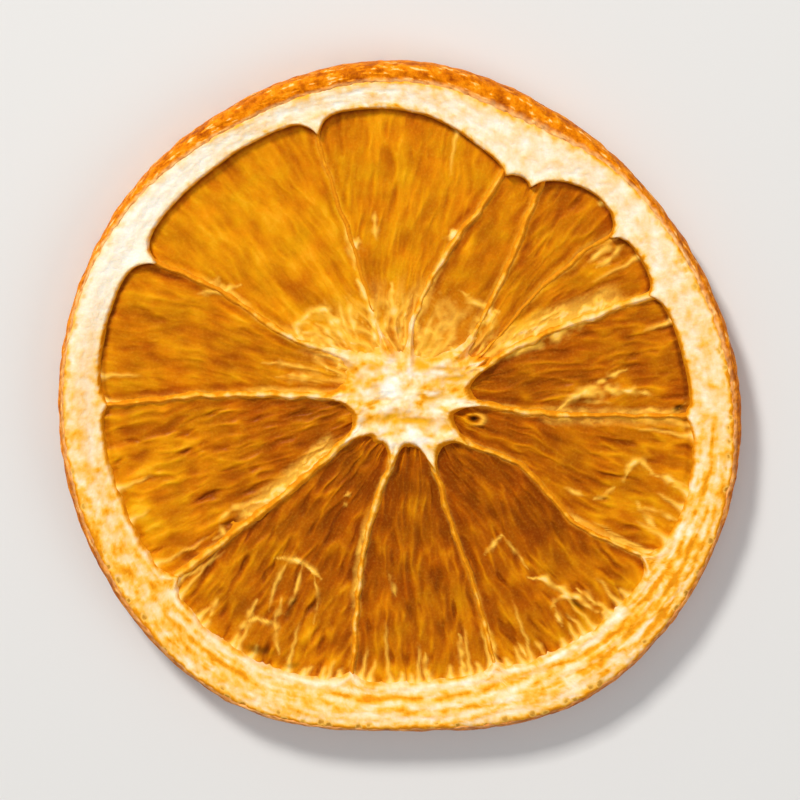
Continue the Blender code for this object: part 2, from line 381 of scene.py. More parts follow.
def joinedMesh(name, points, faces, marks, material):
    mesh = bpy.data.meshes.new(name)
    mesh.vertices.add(len(points))
    mesh.vertices.foreach_set("co", points.astype(np.float32).ravel())
    mesh.loops.add(4 * len(faces))
    mesh.loops.foreach_set("vertex_index", faces.astype(np.int32).ravel())
    mesh.polygons.add(len(faces))
    mesh.polygons.foreach_set("loop_start", np.arange(0, 4 * len(faces), 4, dtype=np.int32))
    mesh.update(calc_edges=True)
    for mark, values in marks.items():
        kind, key = ("FLOAT_VECTOR", "vector") if values.ndim == 2 else ("FLOAT", "value")
        layer = mesh.attributes.new(mark, kind, "POINT")
        layer.data.foreach_set(key, values.astype(np.float32).ravel())
    mesh.shade_smooth()
    mesh.materials.append(material)
    piece = bpy.data.objects.new(name, mesh)
    bpy.context.scene.collection.objects.link(piece)
    return piece


def welded(piece):
    # points that lie on one another become one
    welder = bmesh.new()
    welder.from_mesh(piece.data)
    bmesh.ops.remove_doubles(welder, verts=welder.verts, dist=1e-7)
    welder.to_mesh(piece.data)
    welder.free()
    return piece


def cellCorners(a, b, rows, columns):
    # the four corners of the cells at rows a and columns b of a grid, whose last ones join the first
    nextA, nextB = (a + 1) % rows, (b + 1) % columns
    corners = (a * columns + b, nextA * columns + b, nextA * columns + nextB, a * columns + nextB)
    return np.stack(corners, axis=-1).reshape(-1, 4)


def bothFaces(radius, angle, faceOf):
    # points and marks of the top and of the underside, where faceOf gives one side's heights and marks
    faces = []
    for side in (top, under):
        height, marks = faceOf(side)
        faces.append((placed(radius, angle, side * height), marks))
    return faces


def closedPlate(name, twoFaces, keep, wrap, material):
    # two faces over one grid, closed by walls wherever the kept cells end
    (topPoints, topMarks), (underPoints, underMarks) = twoFaces
    rows, columns = topPoints.shape[:2]
    count = rows * columns
    quads = cellCorners(*np.nonzero(keep), rows, columns)
    faces = [quads, quads[:, ::-1] + count]
    padded = np.pad(keep, ((1, 1), (0, 0)))
    if wrap:
        before, after = np.roll(keep, 1, axis=1), np.roll(keep, -1, axis=1)
    else:
        sides = np.pad(keep, ((0, 0), (1, 1)))
        before, after = sides[:, :-2], sides[:, 2:]
    # the cell on each side, and the steps from a cell's first corner to the two ends of its wall there
    walls = (
        (padded[:-2], (0, 0), (0, 1)),
        (padded[2:], (1, 1), (1, 0)),
        (before, (1, 0), (0, 0)),
        (after, (0, 1), (1, 1)),
    )
    for neighbour, *ends in walls:
        a, b = np.nonzero(keep & ~neighbour)
        one, two = ((a + down) * columns + (b + along) % columns for down, along in ends)
        faces.append(np.stack([one, two, two + count, one + count], axis=-1))
    used, faces = np.unique(np.concatenate(faces), return_inverse=True)
    points = np.concatenate([topPoints.reshape(-1, 3), underPoints.reshape(-1, 3)])[used]
    marks = {}
    for mark in topMarks:
        shape = (-1, 3) if topMarks[mark].ndim == 3 else (-1,)
        marks[mark] = np.concatenate([topMarks[mark].reshape(shape), underMarks[mark].reshape(shape)])[used]
    return joinedMesh(name, points, faces.reshape(-1, 4), marks, material)


def dress(piece):
    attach(piece, "root")
    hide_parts("orange_slice")
    return piece


# Materials

def newMaterial(name):
    material = bpy.data.materials.new(name)
    material.use_nodes = True
    return material, material.node_tree, material.node_tree.nodes["Principled BSDF"]


def feed(tree, socket, value):
    # a socket takes another node's output, a colour or a number
    if isinstance(value, bpy.types.NodeSocket):
        tree.links.new(value, socket)
    else:
        socket.default_value = (*value, 1.0) if isinstance(value, tuple) else value


def markOf(tree, mark, output="Fac"):
    node = tree.nodes.new("ShaderNodeAttribute")
    node.attribute_name = mark
    return node.outputs[output]


def colourRamp(tree, factor, stops):
    node = tree.nodes.new("ShaderNodeValToRGB")
    elements = node.color_ramp.elements
    for element, (position, colour) in zip(elements, (stops[0], stops[-1])):
        element.position = position
        element.color = (*colour, 1.0)
    for position, colour in stops[1:-1]:
        elements.new(position).color = (*colour, 1.0)
    feed(tree, node.inputs["Fac"], factor)
    return node.outputs["Color"]


def mixColour(tree, factor, a, b, blend="MIX"):
    node = tree.nodes.new("ShaderNodeMix")
    node.data_type = "RGBA"
    node.blend_type = blend
    for number, value in ((0, factor), (6, a), (7, b)):
        feed(tree, node.inputs[number], value)
    return node.outputs[2]


def maths(tree, operation, *values, clamp=False):
    node = tree.nodes.new("ShaderNodeMath")
    node.operation = operation
    node.use_clamp = clamp
    for number, value in enumerate(values):
        feed(tree, node.inputs[number], value)
    return node.outputs[0]


def twoStep(tree, factor, colour, half, full):
    # from colour by way of half to full
    first = maths(tree, "MULTIPLY", factor, 2.0, clamp=True)
    second = maths(tree, "MULTIPLY_ADD", factor, 2.0, -1.0, clamp=True)
    return mixColour(tree, second, mixColour(tree, first, colour, half), full)


def noiseOf(tree, place, look):
    # look: scale, detail and roughness
    node = tree.nodes.new("ShaderNodeTexNoise")
    for name, value in zip(("Scale", "Detail", "Roughness"), look):
        node.inputs[name].default_value = value
    feed(tree, node.inputs["Vector"], place)
    return node.outputs["Fac"]


def bumpOf(tree, height, distance, below=None):
    node = tree.nodes.new("ShaderNodeBump")
    node.inputs["Distance"].default_value = distance
    feed(tree, node.inputs["Height"], height)
    if below is not None:
        feed(tree, node.inputs["Normal"], below)
    return node.outputs["Normal"]


def finishShader(tree, shader, look, colour, normal):
    feed(tree, shader.inputs["Base Color"], colour)
    feed(tree, shader.inputs["Normal"], normal)
    for name, value in look["surface"].items():
        shader.inputs[name].default_value = value


# Noises here have a scale per metre, a detail and a roughness; a share after one is how much of it goes
# into the colour and what is added to it
fleshFinish = {
    "stops": ((0.0, (0.24, 0.046, 0.0004)), (0.28, (0.40, 0.092, 0.0006)), (0.55, (0.60, 0.185, 0.001)),
              (0.80, (0.78, 0.300, 0.002)), (1.0, (0.92, 0.42, 0.012))),
    "gold": (0.95, 0.50, 0.055),
    "cream": (1.0, 0.69, 0.27),
    "deep": (0.055, 0.014, 0.0008),
    "redder": (1.03, 0.92, 1.0),
    "olive": (0.95, 1.05, 1.0),
    "streaks": (1.0, 4.0, 0.6),
    "streakShare": (0.18, -0.09),
    "streakBump": 0.00005,
    "grain": (4200.0, 3.0, 0.6),
    "grainShare": (0.16, -0.08),
    "grainBump": 0.00003,
    "hue": (300.0, 3.0, 0.6),
    "hueShare": (3.0, -1.0),
    "surface": {
        "Roughness": 0.42,
        "Specular IOR Level": 0.02,
        "Coat Weight": 0.012,
        "Coat Roughness": 0.22,
        "Subsurface Weight": 0.12,
        "Subsurface Radius": (1.0, 0.35, 0.08),
        "Subsurface Scale": 0.0005,
    },
}


def fleshMaterial():
    look = fleshFinish
    material, tree, shader = newMaterial("driedFlesh")
    place = tree.nodes.new("ShaderNodeTexCoord").outputs["Object"]
    streaks = noiseOf(tree, markOf(tree, "pulpPlace", "Vector"), look["streaks"])
    grain = noiseOf(tree, place, look["grain"])
    speckle = maths(tree, "MULTIPLY_ADD", grain, *look["grainShare"])
    shade = maths(tree, "ADD", maths(tree, "MULTIPLY_ADD", streaks, *look["streakShare"]), speckle)
    tone = maths(tree, "ADD", markOf(tree, "tone"), shade, clamp=True)
    colour = colourRamp(tree, tone, look["stops"])
    hue = maths(tree, "MULTIPLY_ADD", noiseOf(tree, place, look["hue"]), *look["hueShare"], clamp=True)
    colour = mixColour(tree, 1.0, colour, mixColour(tree, hue, look["redder"], look["olive"]), "MULTIPLY")
    strand = maths(tree, "ADD", markOf(tree, "strand"), speckle, clamp=True)
    colour = twoStep(tree, strand, colour, look["gold"], look["cream"])
    # painted shade: the pit mark darkens the holes and the line under the pith's edge towards the deep
    # colour
    colour = mixColour(tree, markOf(tree, "pit"), colour, look["deep"])
    fine = bumpOf(tree, grain, look["grainBump"])
    finishShader(tree, shader, look, colour, bumpOf(tree, streaks, look["streakBump"], fine))
    return material


pithFinish = {
    "stops": ((0.0, (1.0, 0.925, 0.79)), (0.25, (1.0, 0.82, 0.59)), (0.50, (1.0, 0.67, 0.325)),
              (0.75, (0.98, 0.49, 0.060)), (0.90, (0.90, 0.355, 0.008)), (1.0, (0.74, 0.245, 0.002))),
    "blush": (1.0, 0.66, 0.38),
    "stain": (0.78, 0.37, 0.010),
    "glandRim": (0.92, 0.50, 0.08),
    "gland": (0.42, 0.155, 0.003),
    "sponge": (2400.0, 4.0, 0.65),
    "spongeShare": (0.30, -0.15),
    "spongeBump": 0.00009,
    "blushPatches": (520.0, 3.0, 0.6),
    "blushShare": (2.6, -1.15),
    "blushAmount": 0.28,
    "blushStart": 2.2,        # how soon the blush comes as the pith gets warmer, and how it goes again
    "blushEnd": (-4.0, 3.6),
    "surface": {
        "Roughness": 0.75,
        "Specular IOR Level": 0.10,
        "Subsurface Weight": 0.15,
        "Subsurface Radius": (1.0, 0.6, 0.3),
        "Subsurface Scale": 0.0005,
    },
}


def pithMaterial():
    look = pithFinish
    material, tree, shader = newMaterial("creamPith")
    place = tree.nodes.new("ShaderNodeTexCoord").outputs["Object"]
    sponge = noiseOf(tree, place, look["sponge"])
    ruffled = maths(tree, "MULTIPLY_ADD", sponge, *look["spongeShare"])
    warm = maths(tree, "ADD", markOf(tree, "warm"), ruffled, clamp=True)
    colour = colourRamp(tree, warm, look["stops"])
    patches = noiseOf(tree, place, look["blushPatches"])
    blush = maths(tree, "MULTIPLY_ADD", patches, *look["blushShare"], clamp=True)
    coming = maths(tree, "MULTIPLY", warm, look["blushStart"], clamp=True)
    going = maths(tree, "MULTIPLY_ADD", warm, *look["blushEnd"], clamp=True)
    for factor in (look["blushAmount"], coming, going):
        blush = maths(tree, "MULTIPLY", blush, factor)
    colour = mixColour(tree, blush, colour, look["blush"])
    colour = mixColour(tree, markOf(tree, "stain"), colour, look["stain"])
    colour = twoStep(tree, markOf(tree, "gland"), colour, look["glandRim"], look["gland"])
    finishShader(tree, shader, look, colour, bumpOf(tree, sponge, look["spongeBump"]))
    return material


rindFinish = {
    "skin": ((0.0, (0.30, 0.048, 0.0003)), (0.3, (0.56, 0.130, 0.0004)), (0.5, (0.76, 0.205, 0.0006)),
             (0.75, (0.96, 0.310, 0.006)), (1.0, (1.0, 0.58, 0.20))),
    "lip": (1.0, 0.60, 0.24),
    "gland": (0.40, 0.095, 0.001),
    "mottle": (1000.0, 5.0, 0.7),
    "mottleShare": (2.0, -1.0),
    "fine": (5200.0, 2.0, 0.5),
    "fineBump": 0.00005,
    "surface": {
        "Roughness": 0.50,
        "Specular IOR Level": 0.03,
        "Subsurface Weight": 0.10,
        "Subsurface Radius": (1.0, 0.35, 0.1),
        "Subsurface Scale": 0.0005,
    },
}


def rindMaterial():
    look = rindFinish
    material, tree, shader = newMaterial("orangeRind")
    place = tree.nodes.new("ShaderNodeTexCoord").outputs["Object"]
    mottle = maths(tree, "MULTIPLY_ADD", noiseOf(tree, place, look["mottle"]), *look["mottleShare"])
    tone = maths(tree, "ADD", markOf(tree, "tone"), mottle, clamp=True)
    colour = colourRamp(tree, tone, look["skin"])
    # the lip mark also carries a painted highlight low on the side
    for mark in ("lip", "gland"):
        colour = mixColour(tree, markOf(tree, mark), colour, look[mark])
    fine = bumpOf(tree, noiseOf(tree, place, look["fine"]), look["fineBump"])
    finishShader(tree, shader, look, colour, fine)
    return material


# Marks placed one by one, in millimetres from the core

def inOval(x, y, oval, grow=1.0):
    # 0 at the oval's middle, 1 on its edge
    turn = math.radians(oval["turn"])
    dx, dy = x - oval["at"][0], y - oval["at"][1]
    along = (dx * math.cos(turn) + dy * math.sin(turn)) / (oval["half"][0] * grow)
    across = (dy * math.cos(turn) - dx * math.sin(turn)) / (oval["half"][1] * grow)
    return np.hypot(along, across)


def nearLine(x, y, line):
    # distance to a line of points, and how far along the line its nearest point is, from 0 to 1
    off = np.full(x.shape, 9.0)
    where = np.zeros(x.shape)
    lengths = [math.dist(start, end) for start, end in zip(line, line[1:])]
    passed = 0.0
    for (ax, ay), (bx, by), length in zip(line, line[1:], lengths):
        dx, dy = bx - ax, by - ay
        along = np.clip(((x - ax) * dx + (y - ay) * dy) / (dx * dx + dy * dy), 0, 1)
        here = np.hypot(x - ax - along * dx, y - ay - along * dy)
        where = np.where(here < off, (passed + along * length) / sum(lengths), where)
        off = np.minimum(off, here)
        passed += length
    return off, where


# Pale strands lying on the flesh: half width, how pale, from gold at 0.5 to cream at 1, and points
strands = rowsOf(
    "wide pale line",
    # the fan above the core
    (0.36, 0.95, ((-4.6, 10.5), (-3.4, 8.3), (-2.8, 6.1), (-3.1, 4.5), (-4.3, 3.3))),
    (0.32, 0.80, ((-10.3, 6.6), (-8.7, 7.5), (-7.5, 7.8), (-6.2, 6.4), (-5.3, 4.9))),
    (0.30, 0.85, ((-10.0, 5.2), (-10.5, 6.4), (-9.2, 6.6))),
    (0.34, 0.85, ((-9.6, 5.6), (-8.6, 5.9), (-7.5, 4.9), (-6.2, 4.1))),
    (0.34, 0.85, ((-7.5, 7.4), (-6.5, 6.0), (-5.5, 4.4))),
    (0.26, 0.65, ((-8.4, 6.6), (-7.2, 5.6), (-6.0, 4.2))),
    (0.30, 0.65, ((-5.6, 8.9), (-5.2, 7.0), (-4.6, 5.0))),
    (0.26, 0.60, ((-6.3, 8.4), (-5.9, 6.8), (-5.0, 4.8))),
    (0.42, 0.75, ((-1.4, 10.2), (-1.2, 8.0), (-1.1, 6.1), (-0.3, 3.9))),
    (0.26, 0.65, ((-0.3, 8.6), (-1.2, 8.0), (-1.9, 6.4), (-2.6, 5.2))),
    (0.24, 0.60, ((0.6, 9.2), (-0.2, 7.4), (-0.6, 5.6))),
    (0.30, 0.60, ((2.2, 6.6), (1.6, 5.2), (1.4, 3.8))),
    (0.32, 0.62, ((4.4, 6.0), (3.9, 4.8), (3.4, 3.8))),
    (0.24, 0.50, ((3.2, 8.6), (3.0, 6.6), (2.6, 4.6))),
    (0.24, 0.65, ((5.0, 9.4), (7.3, 7.8), (8.7, 7.5))),
    (0.30, 0.75, ((6.3, 6.8), (7.8, 6.9))),
    (0.40, 0.85, ((7.2, 8.4), (7.9, 7.4), (7.4, 6.4))),
    (0.30, 0.80, ((8.2, 3.9), (11.0, 5.8), (12.2, 6.4))),
    (0.50, 0.62, ((9.4, 3.4), (11.6, 4.6), (14.0, 5.6), (17.6, 7.4))),
    (0.30, 0.62, ((7.0, 2.9), (8.6, 4.6), (9.4, 5.8))),
    (0.26, 0.50, ((6.4, 3.4), (7.8, 5.6), (8.4, 7.0))),
    (0.30, 0.60, ((16.8, 12.2), (19.6, 14.6))),
    (0.24, 0.55, ((17.6, 11.6), (20.3, 13.9))),
    (0.50, 0.95, ((4.2, 15.0), (4.5, 14.3))),
    (0.22, 0.50, ((-2.8, 14.3), (-3.0, 16.7))),
    (0.34, 0.80, ((-4.9, 13.2), (-4.6, 14.4))),
    (0.26, 0.60, ((-5.8, 15.6), (-5.0, 13.2), (-4.8, 11.4))),
    # beside the web of the left
    (0.30, 0.6, ((-12.2, 1.6), (-9.8, 1.5), (-7.6, 1.2))),
    (0.20, 0.45, ((-13.4, 2.9), (-10.4, 2.6), (-8.2, 2.2))),
    (0.18, 0.6, ((-19.4, 9.3), (-17.0, 9.5), (-15.4, 10.0))),
    (0.24, 0.7, ((-17.4, 10.8), (-17.9, 9.6))),
    # lower right
    (0.18, 0.75, ((7.4, -15.2), (8.2, -14.1), (8.9, -13.2))),
    (0.14, 0.45, ((8.9, -13.2), (10.4, -15.0), (11.6, -16.8))),
    (0.22, 0.9, ((11.4, -17.2), (12.8, -17.4), (14.3, -18.3), (16.2, -19.3), (18.0, -20.6))),
    (0.20, 0.85, ((13.6, -20.2), (14.0, -19.5), (14.9, -19.1), (16.0, -19.4))),
    (0.20, 0.75, ((14.6, -21.8), (13.9, -20.0))),
    (0.20, 0.85, ((16.1, -18.3), (17.2, -19.4), (18.3, -19.9))),
    (0.22, 0.8, ((5.0, -22.7), (5.2, -24.9), (5.5, -26.9))),
    (0.20, 0.65, ((1.7, -24.5), (1.8, -27.2))),
    (0.20, 0.8, ((10.5, -23.6), (11.8, -25.4))),
    (0.18, 0.7, ((12.2, -23.4), (13.2, -24.9))),
    (0.18, 0.6, ((7.6, -21.4), (8.0, -23.2), (8.6, -25.8))),
    (0.20, 0.7, ((22.2, -10.6), (25.3, -11.9))),
    (0.26, 0.75, ((23.0, -7.5), (26.4, -8.7))),
    (0.18, 0.5, ((14.9, -8.9), (16.6, -9.6))),
    (0.22, 0.7, ((17.6, -10.0), (18.6, -9.5), (19.4, -8.7))),
    (0.24, 0.75, ((20.3, -8.2), (20.9, -6.9), (21.9, -6.1), (23.0, -7.4))),
    (0.20, 0.6, ((21.5, -10.2), (22.4, -11.6), (23.9, -13.0))),
    # right: the web's fork and loop
    (0.28, 0.92, ((13.6, -1.9), (14.7, -1.1), (15.4, -0.4), (16.7, 0.2), (19.1, 0.3), (21.3, 0.3),
     (22.9, -0.1))),
    (0.20, 0.62, ((16.9, 0.2), (18.2, 1.2), (19.7, 2.0), (20.6, 2.2))),
    (0.16, 0.40, ((16.2, -0.9), (17.6, -0.7), (19.4, -1.0))),
    (0.20, 0.55, ((20.2, -2.1), (22.6, -1.6), (24.4, -1.8), (26.0, -1.1))),
    (0.20, 0.6, ((23.8, -2.2), (25.2, -2.9), (27.0, -3.2))),
    # lower left: the arc with its fan, and the net at the pith
    (0.18, 0.75, ((-12.5, -15.4), (-10.5, -15.6), (-9.1, -16.4), (-8.0, -17.5))),
    (0.16, 0.5, ((-11.2, -15.7), (-12.4, -18.0), (-13.0, -20.4))),
    (0.16, 0.5, ((-9.9, -16.2), (-10.3, -18.4), (-11.4, -20.8))),
    (0.15, 0.4, ((-8.8, -17.0), (-8.3, -19.4), (-8.8, -21.6))),
    (0.26, 0.95, ((-5.6, -9.2), (-5.4, -9.5))),
    (0.18, 0.55, ((-5.9, -10.2), (-5.6, -10.7))),
    (0.24, 0.65, ((-14.1, -19.4), (-15.2, -21.4), (-16.2, -23.6))),
    (0.22, 0.5, ((-17.9, -19.2), (-18.6, -21.0))),
    (0.22, 0.6, ((-11.8, -19.3), (-12.4, -21.7), (-12.1, -24.6))),
    (0.20, 0.6, ((-12.3, -21.7), (-14.0, -21.2), (-15.2, -21.4))),
    (0.24, 0.6, ((-17.7, -12.0), (-16.2, -10.7), (-14.2, -10.2), (-12.9, -10.1))),
    (0.20, 0.6, ((-17.7, -12.0), (-17.2, -13.2), (-18.2, -13.8))),
    (0.20, 0.55, ((-15.4, -10.4), (-15.0, -11.8))),
    (0.36, 0.55, ((-12.9, -10.2), (-10.8, -8.2), (-9.6, -6.9))),
    (0.17, 0.45, ((-1.6, -17.1), (-1.0, -19.0))),
)

# Small holes, painted dark as shade in their hollows; the first is where a seed was, and has a raised
# lip: its height, and its size as a multiple of the hole's
pits = rowsOf(
    "at half turn dark depth lip lipSize",
    ((6.3, -2.35), (0.42, 0.26), -5.0, 1.0, 0.35, 0.24, 2.6),
    ((-0.7, 5.9), (0.26, 0.42), 10.0, 0.35, 0.12),
    ((25.4, -1.35), (0.55, 0.32), 15.0, 0.95, 0.3),
    ((-16.6, -12.1), (0.95, 0.32), 22.0, 0.50, 0.2),
    ((-13.6, -11.6), (0.60, 0.24), 38.0, 0.45, 0.2),
    ((16.1, -19.9), (0.90, 0.22), -42.0, 0.85, 0.25),
    ((-14.0, -24.1), (1.45, 0.42), -14.0, 0.62, 0.06),
    ((-10.9, -20.4), (0.32, 1.10), -28.0, 0.35, 0.15),
    ((-10.9, -25.6), (0.80, 0.28), 5.0, 0.45, 0.05),
    ((16.4, -0.75), (1.3, 0.28), 5.0, 0.50, 0.12),
)

# Broad darker or brighter places in the flesh
blotches = rowsOf(
    "at half turn tone",
    ((-9.6, 9.2), (2.8, 1.0), -32.0, -0.26),
    ((-15.5, 16.0), (5.0, 3.4), 45.0, 0.10),
    ((4.2, 20.0), (2.2, 3.0), 0.0, 0.06),
    ((-16.5, 3.6), (2.4, 0.8), 8.0, -0.18),
    ((-9.5, -13.2), (3.4, 1.6), 30.0, -0.10),
    ((12.6, -13.6), (2.8, 1.5), -45.0, -0.10),
    ((3.6, -18.5), (1.1, 3.4), 5.0, -0.12),
    ((0.6, -13.0), (1.0, 4.5), 4.0, 0.08),
    ((21.6, -11.4), (2.6, 1.8), -20.0, 0.14),
    ((25.0, -10.3), (0.9, 0.9), 0.0, -0.30),
)

# How strands and pits lie
markForm = {
    "bend": (0.16, 1.2),      # how far a strand wanders off its points, and over what length
    "fineBend": (0.07, 0.45),
    "strandRise": 0.14,
    "ragged": (0.25, 0.5),    # how uneven a pit's edge is, and over what length
    "lipAt": 0.78,            # where the lip is, as a share of its size, and how wide
    "lipWidth": 0.26,
}


def strandMarks(x, y):
    # how pale each point is, from 0 to 1, and how high the strand stands there
    form = markForm
    pale, rise = np.zeros_like(x), np.zeros_like(x)
    for number, strand in enumerate(strands):
        reach = 4 * strand["wide"]
        xs, ys = zip(*strand["line"])
        near = (x > min(xs) - reach) & (x < max(xs) + reach)
        near &= (y > min(ys) - reach) & (y < max(ys) + reach)
        if not near.any():
            continue
        px, py = x[near], y[near]
        bent = [
            value + waves(form["bend"], px, py, seed) + waves(form["fineBend"], px, py, seed + 50)
            for value, seed in ((px, 200 + number), (py, 300 + number))
        ]
        off, along = nearLine(*bent, strand["line"])
        taper = 0.35 + 0.65 * ease(0, 0.3, along) * ease(1, 0.7, along)
        uneven = 1.15 + 0.8 * hills(px, py, 400 + number, 0.8)
        ridge = bell(off, strand["wide"] * np.maximum(uneven, 0.35) * taper)
        faded = ridge * np.clip(0.65 + 0.8 * hills(px, py, 500 + number, 0.9), 0, 1) * (0.5 + 0.5 * taper)
        pale[near] = np.maximum(pale[near], 1.06 * strand["pale"] * faded)
        rise[near] = np.maximum(rise[near], form["strandRise"] * strand["pale"] ** 0.5 * ridge * taper)
    return np.clip(pale, 0, 1), rise


def pitMarks(x, y):
    # how much painted shade each point gets in a hole, how deep it lies, and where the raised lip is
    form = markForm
    paintedShade, sunk, lip, raised = (np.zeros_like(x) for _ in range(4))
    for pit in pits:
        ragged = inOval(x, y, pit) * (1 + waves(form["ragged"], x, y, 91))
        inside = np.exp(-1.2 * ragged**3)
        paintedShade = np.maximum(paintedShade, pit["dark"] * inside)
        sunk = np.maximum(sunk, pit["depth"] * inside)
        if "lip" in pit:
            ring = bell(inOval(x, y, pit, pit["lipSize"]) - form["lipAt"], form["lipWidth"])
            lip = np.maximum(lip, ring)
            raised = np.maximum(raised, pit["lip"] * ring)
    return paintedShade, sunk - raised, lip


# Flesh: a sheet for each section, from web to web, with pulp cells, fibres and pale strands

fleshForm = {
    "spacing": 0.165,
    "leastColumns": 14,
    "underCore": 1.3,         # how far the sheet runs in under the core, and out under the pith
    "underPith": 0.8,
    # how wide and long each part of the pulp is, how high it stands, and how much brighter it is
    "sac": {"wide": 1.05, "long": 4.4, "rise": 0.07, "tone": 0.10},
    "sacWall": {"rise": 0.12, "tone": 0.30},
    "bundle": {"wide": 1.5, "long": 7.0, "rise": 0.10, "tone": 0.18},
    "fibre": {"wide": 0.62, "long": 4.0, "rise": 0.07, "tone": 0.15},
    "thread": {"wide": 0.36, "long": 2.2, "rise": 0.02, "tone": 0.07},
    "hollow": {"wide": 0.62, "long": 3.8, "rise": -0.22, "tone": -0.34},
    # height or strength, and width or width and length: uneven brightness and height of the flesh, how
    # its fibres wander, coarse and fine, and how its fringes do
    "blotch": (0.12, 1.9),
    "swell": (0.08, 6.0),
    "drift": (0.25, 5.0, 3.0),
    "fineDrift": (0.09, 1.3, 0.9),
    "fringeBend": (0.35, 1.3),
    "toneFrom": 8.0,          # radii between which the inner brightness turns into the outer
    "toneTo": 24.0,
    "crease": 0.07,           # the dip beside webs and pith; at webs, how far past their side, how wide
    # painted shade in the dip beside webs
    "creasePaintedShade": -0.16,
    "creaseAt": 0.40,
    "creaseWidth": 0.26,
    "webFoot": 0.16,          # how much of a web's height the flesh takes part in, and how far past it
    "footWidth": 0.15,
    "edgeWidth": 0.15,        # the pale edge beside a web: how pale by itself, and more by the web's own
    "edgePale": (0.06, 0.26),
    "fringeRise": 0.13,
    # what runs out of the core into the flesh, with its width and length or its width
    "ropes": {"rise": 0.16, "pale": 0.48, "size": (1.2, 3.0)},
    "flecks": {"rise": 0.05, "pale": 0.35, "size": (0.55,)},
    "northShade": 0.30,       # painted shade under the pith's edge, and painted light near it at the bottom
    "southGlow": 0.14,
    "paintedEdgeShadow": 0.48,          # a painted shadow line right under that edge
    "lipTone": 0.45,
    "lipPale": 0.55,
    "stalkStep": 2.0,
    "stalkRise": 0.14,
    "stalkLength": (0.8, 5.5),  # the shortest, and how much longer the longest is
    "stalkLean": 3.0,
    "stalkWidth": (0.13, 0.22),  # at its tip, and how much wider its root is
    "stalkPale": (0.34, 0.50),
    # how many stalks hold the pulp to the pith, every 30 degrees
    "stalks": (0.18, 0.04, 0.02, 0.0, 0.0, 0.0, 0.05, 0.35, 0.7, 0.9, 0.8, 0.50),
}

# Grainy pale fringes on one side of a web: the section they lie in, and the web, counted the same way
fringes = rowsOf(
    "section web from to wide pale",
    (7, 8, 8.5, 19.5, 2.10, 0.85),
    (1, 1, 10.0, 21.8, 2.60, 0.80),
    (5, 6, 6.0, 13.0, 1.10, 0.75),
    (5, 6, 17.0, 22.0, 0.80, 0.65),
    (6, 7, 6.0, 15.0, 0.90, 0.60),
    (0, 0, 13.0, 26.0, 1.00, 0.36),
    (11, 12, 13.0, 26.0, 1.30, 0.40),
    (8, 9, 12.0, 21.0, 0.90, 0.55),
    (11, 11, 19.0, 27.0, 0.90, 0.55),
    (3, 4, 7.0, 12.0, 0.70, 0.60),
)


def pulpRelief(section, radius, across, drift, x, y, seed):
    # how high the pulp of a section stands, and how bright it is
    form, coarse = fleshForm, section["coarse"]

    def strips(name, number, layers=1):
        return hills(drift, radius, seed + number, form[name]["wide"], form[name]["long"], layers)

    sac = form["sac"]
    wall, _, own = cells(drift / sac["wide"], radius / sac["long"] + 0.5 * across, seed + 5)
    walls = 1 - ease(0.03, 0.40, wall)
    show = coarse * ease(-0.5, 0.6, hills(x, y, seed + 12, 3.4, layers=2))
    hollow = ease(0.30, 0.85, strips("hollow", 24, 2)) * coarse * (0.35 + 0.65 * ease(12.0, 22.0, radius))
    parts = (
        ("bundle", strips("bundle", 15, 2), 1, 1),
        ("fibre", 1 - 2 * np.abs(strips("fibre", 18)), 0.5 + 0.5 * coarse, 0.5 + 0.5 * coarse),
        ("sacWall", walls, 0.2 + show, show),
        ("sac", own - 0.5, 1, 1),
        ("thread", strips("thread", 19), 1, 1),
        ("hollow", hollow, 1, 1),
    )
    relief = sum(form[name]["rise"] * part * much for name, part, much, _ in parts)
    tone = mix(section["inner"], section["outer"], ease(form["toneFrom"], form["toneTo"], radius))
    tone = tone + sum(form[name]["tone"] * part * much for name, part, _, much in parts)
    return relief, tone + waves(form["blotch"], x, y, seed + 21, 3)


def webSides(number, radius, angle, x, y, seed):
    # beside the section's two webs: how the flesh rises and dips, its ragged pale edge, the dip alone,
    # which gets painted shade, and the distance past the nearer web's side
    form = fleshForm
    rise, pale, crease = (np.zeros_like(radius) for _ in range(3))
    nearest = np.full_like(radius, 9.0)
    for web in (number, number + 1):
        off, wide = fromWeb(web, radius, angle), webLine(web, "wide", radius)
        past = off - wide
        dip = bell(past - form["creaseAt"], form["creaseWidth"])
        foot = webs[web % len(webs)]["stands"] * bell(off, wide + form["footWidth"])
        rise += form["webFoot"] * foot - form["crease"] * dip
        crease += dip
        fringe = bell(np.maximum(past + 0.12, 0), form["edgeWidth"])
        fringe *= 0.7 + 0.6 * hills(x, y, seed + 30, 0.9)
        byItself, withWeb = form["edgePale"]
        pale = np.maximum(pale, (byItself + withWeb * webLine(web, "pale", radius)) * fringe)
        nearest = np.minimum(nearest, past)
    return rise, pale, crease, nearest


def fringeMarks(number, radius, angle, drift, x, y, seed):
    rise, pale = np.zeros_like(radius), np.zeros_like(radius)
    bent = drift + waves(fleshForm["fringeBend"], x, y, seed + 37)
    grains = ease(-0.25, 0.60, hills(bent, radius, seed + 31, 0.50, 1.3, layers=3))
    for band in fringes:
        if band["section"] == number:
            there = ease(band["wide"], 0.3 * band["wide"], fromWeb(band["web"], radius, angle))
            there *= ease(band["from"] - 1, band["from"] + 1, radius)
            there *= ease(band["to"] + 1, band["to"] - 2, radius)
            pale = np.maximum(pale, band["pale"] * there * (0.42 + 0.58 * grains))
            rise += fleshForm["fringeRise"] * there * (0.2 + 0.8 * grains)
    return rise, pale


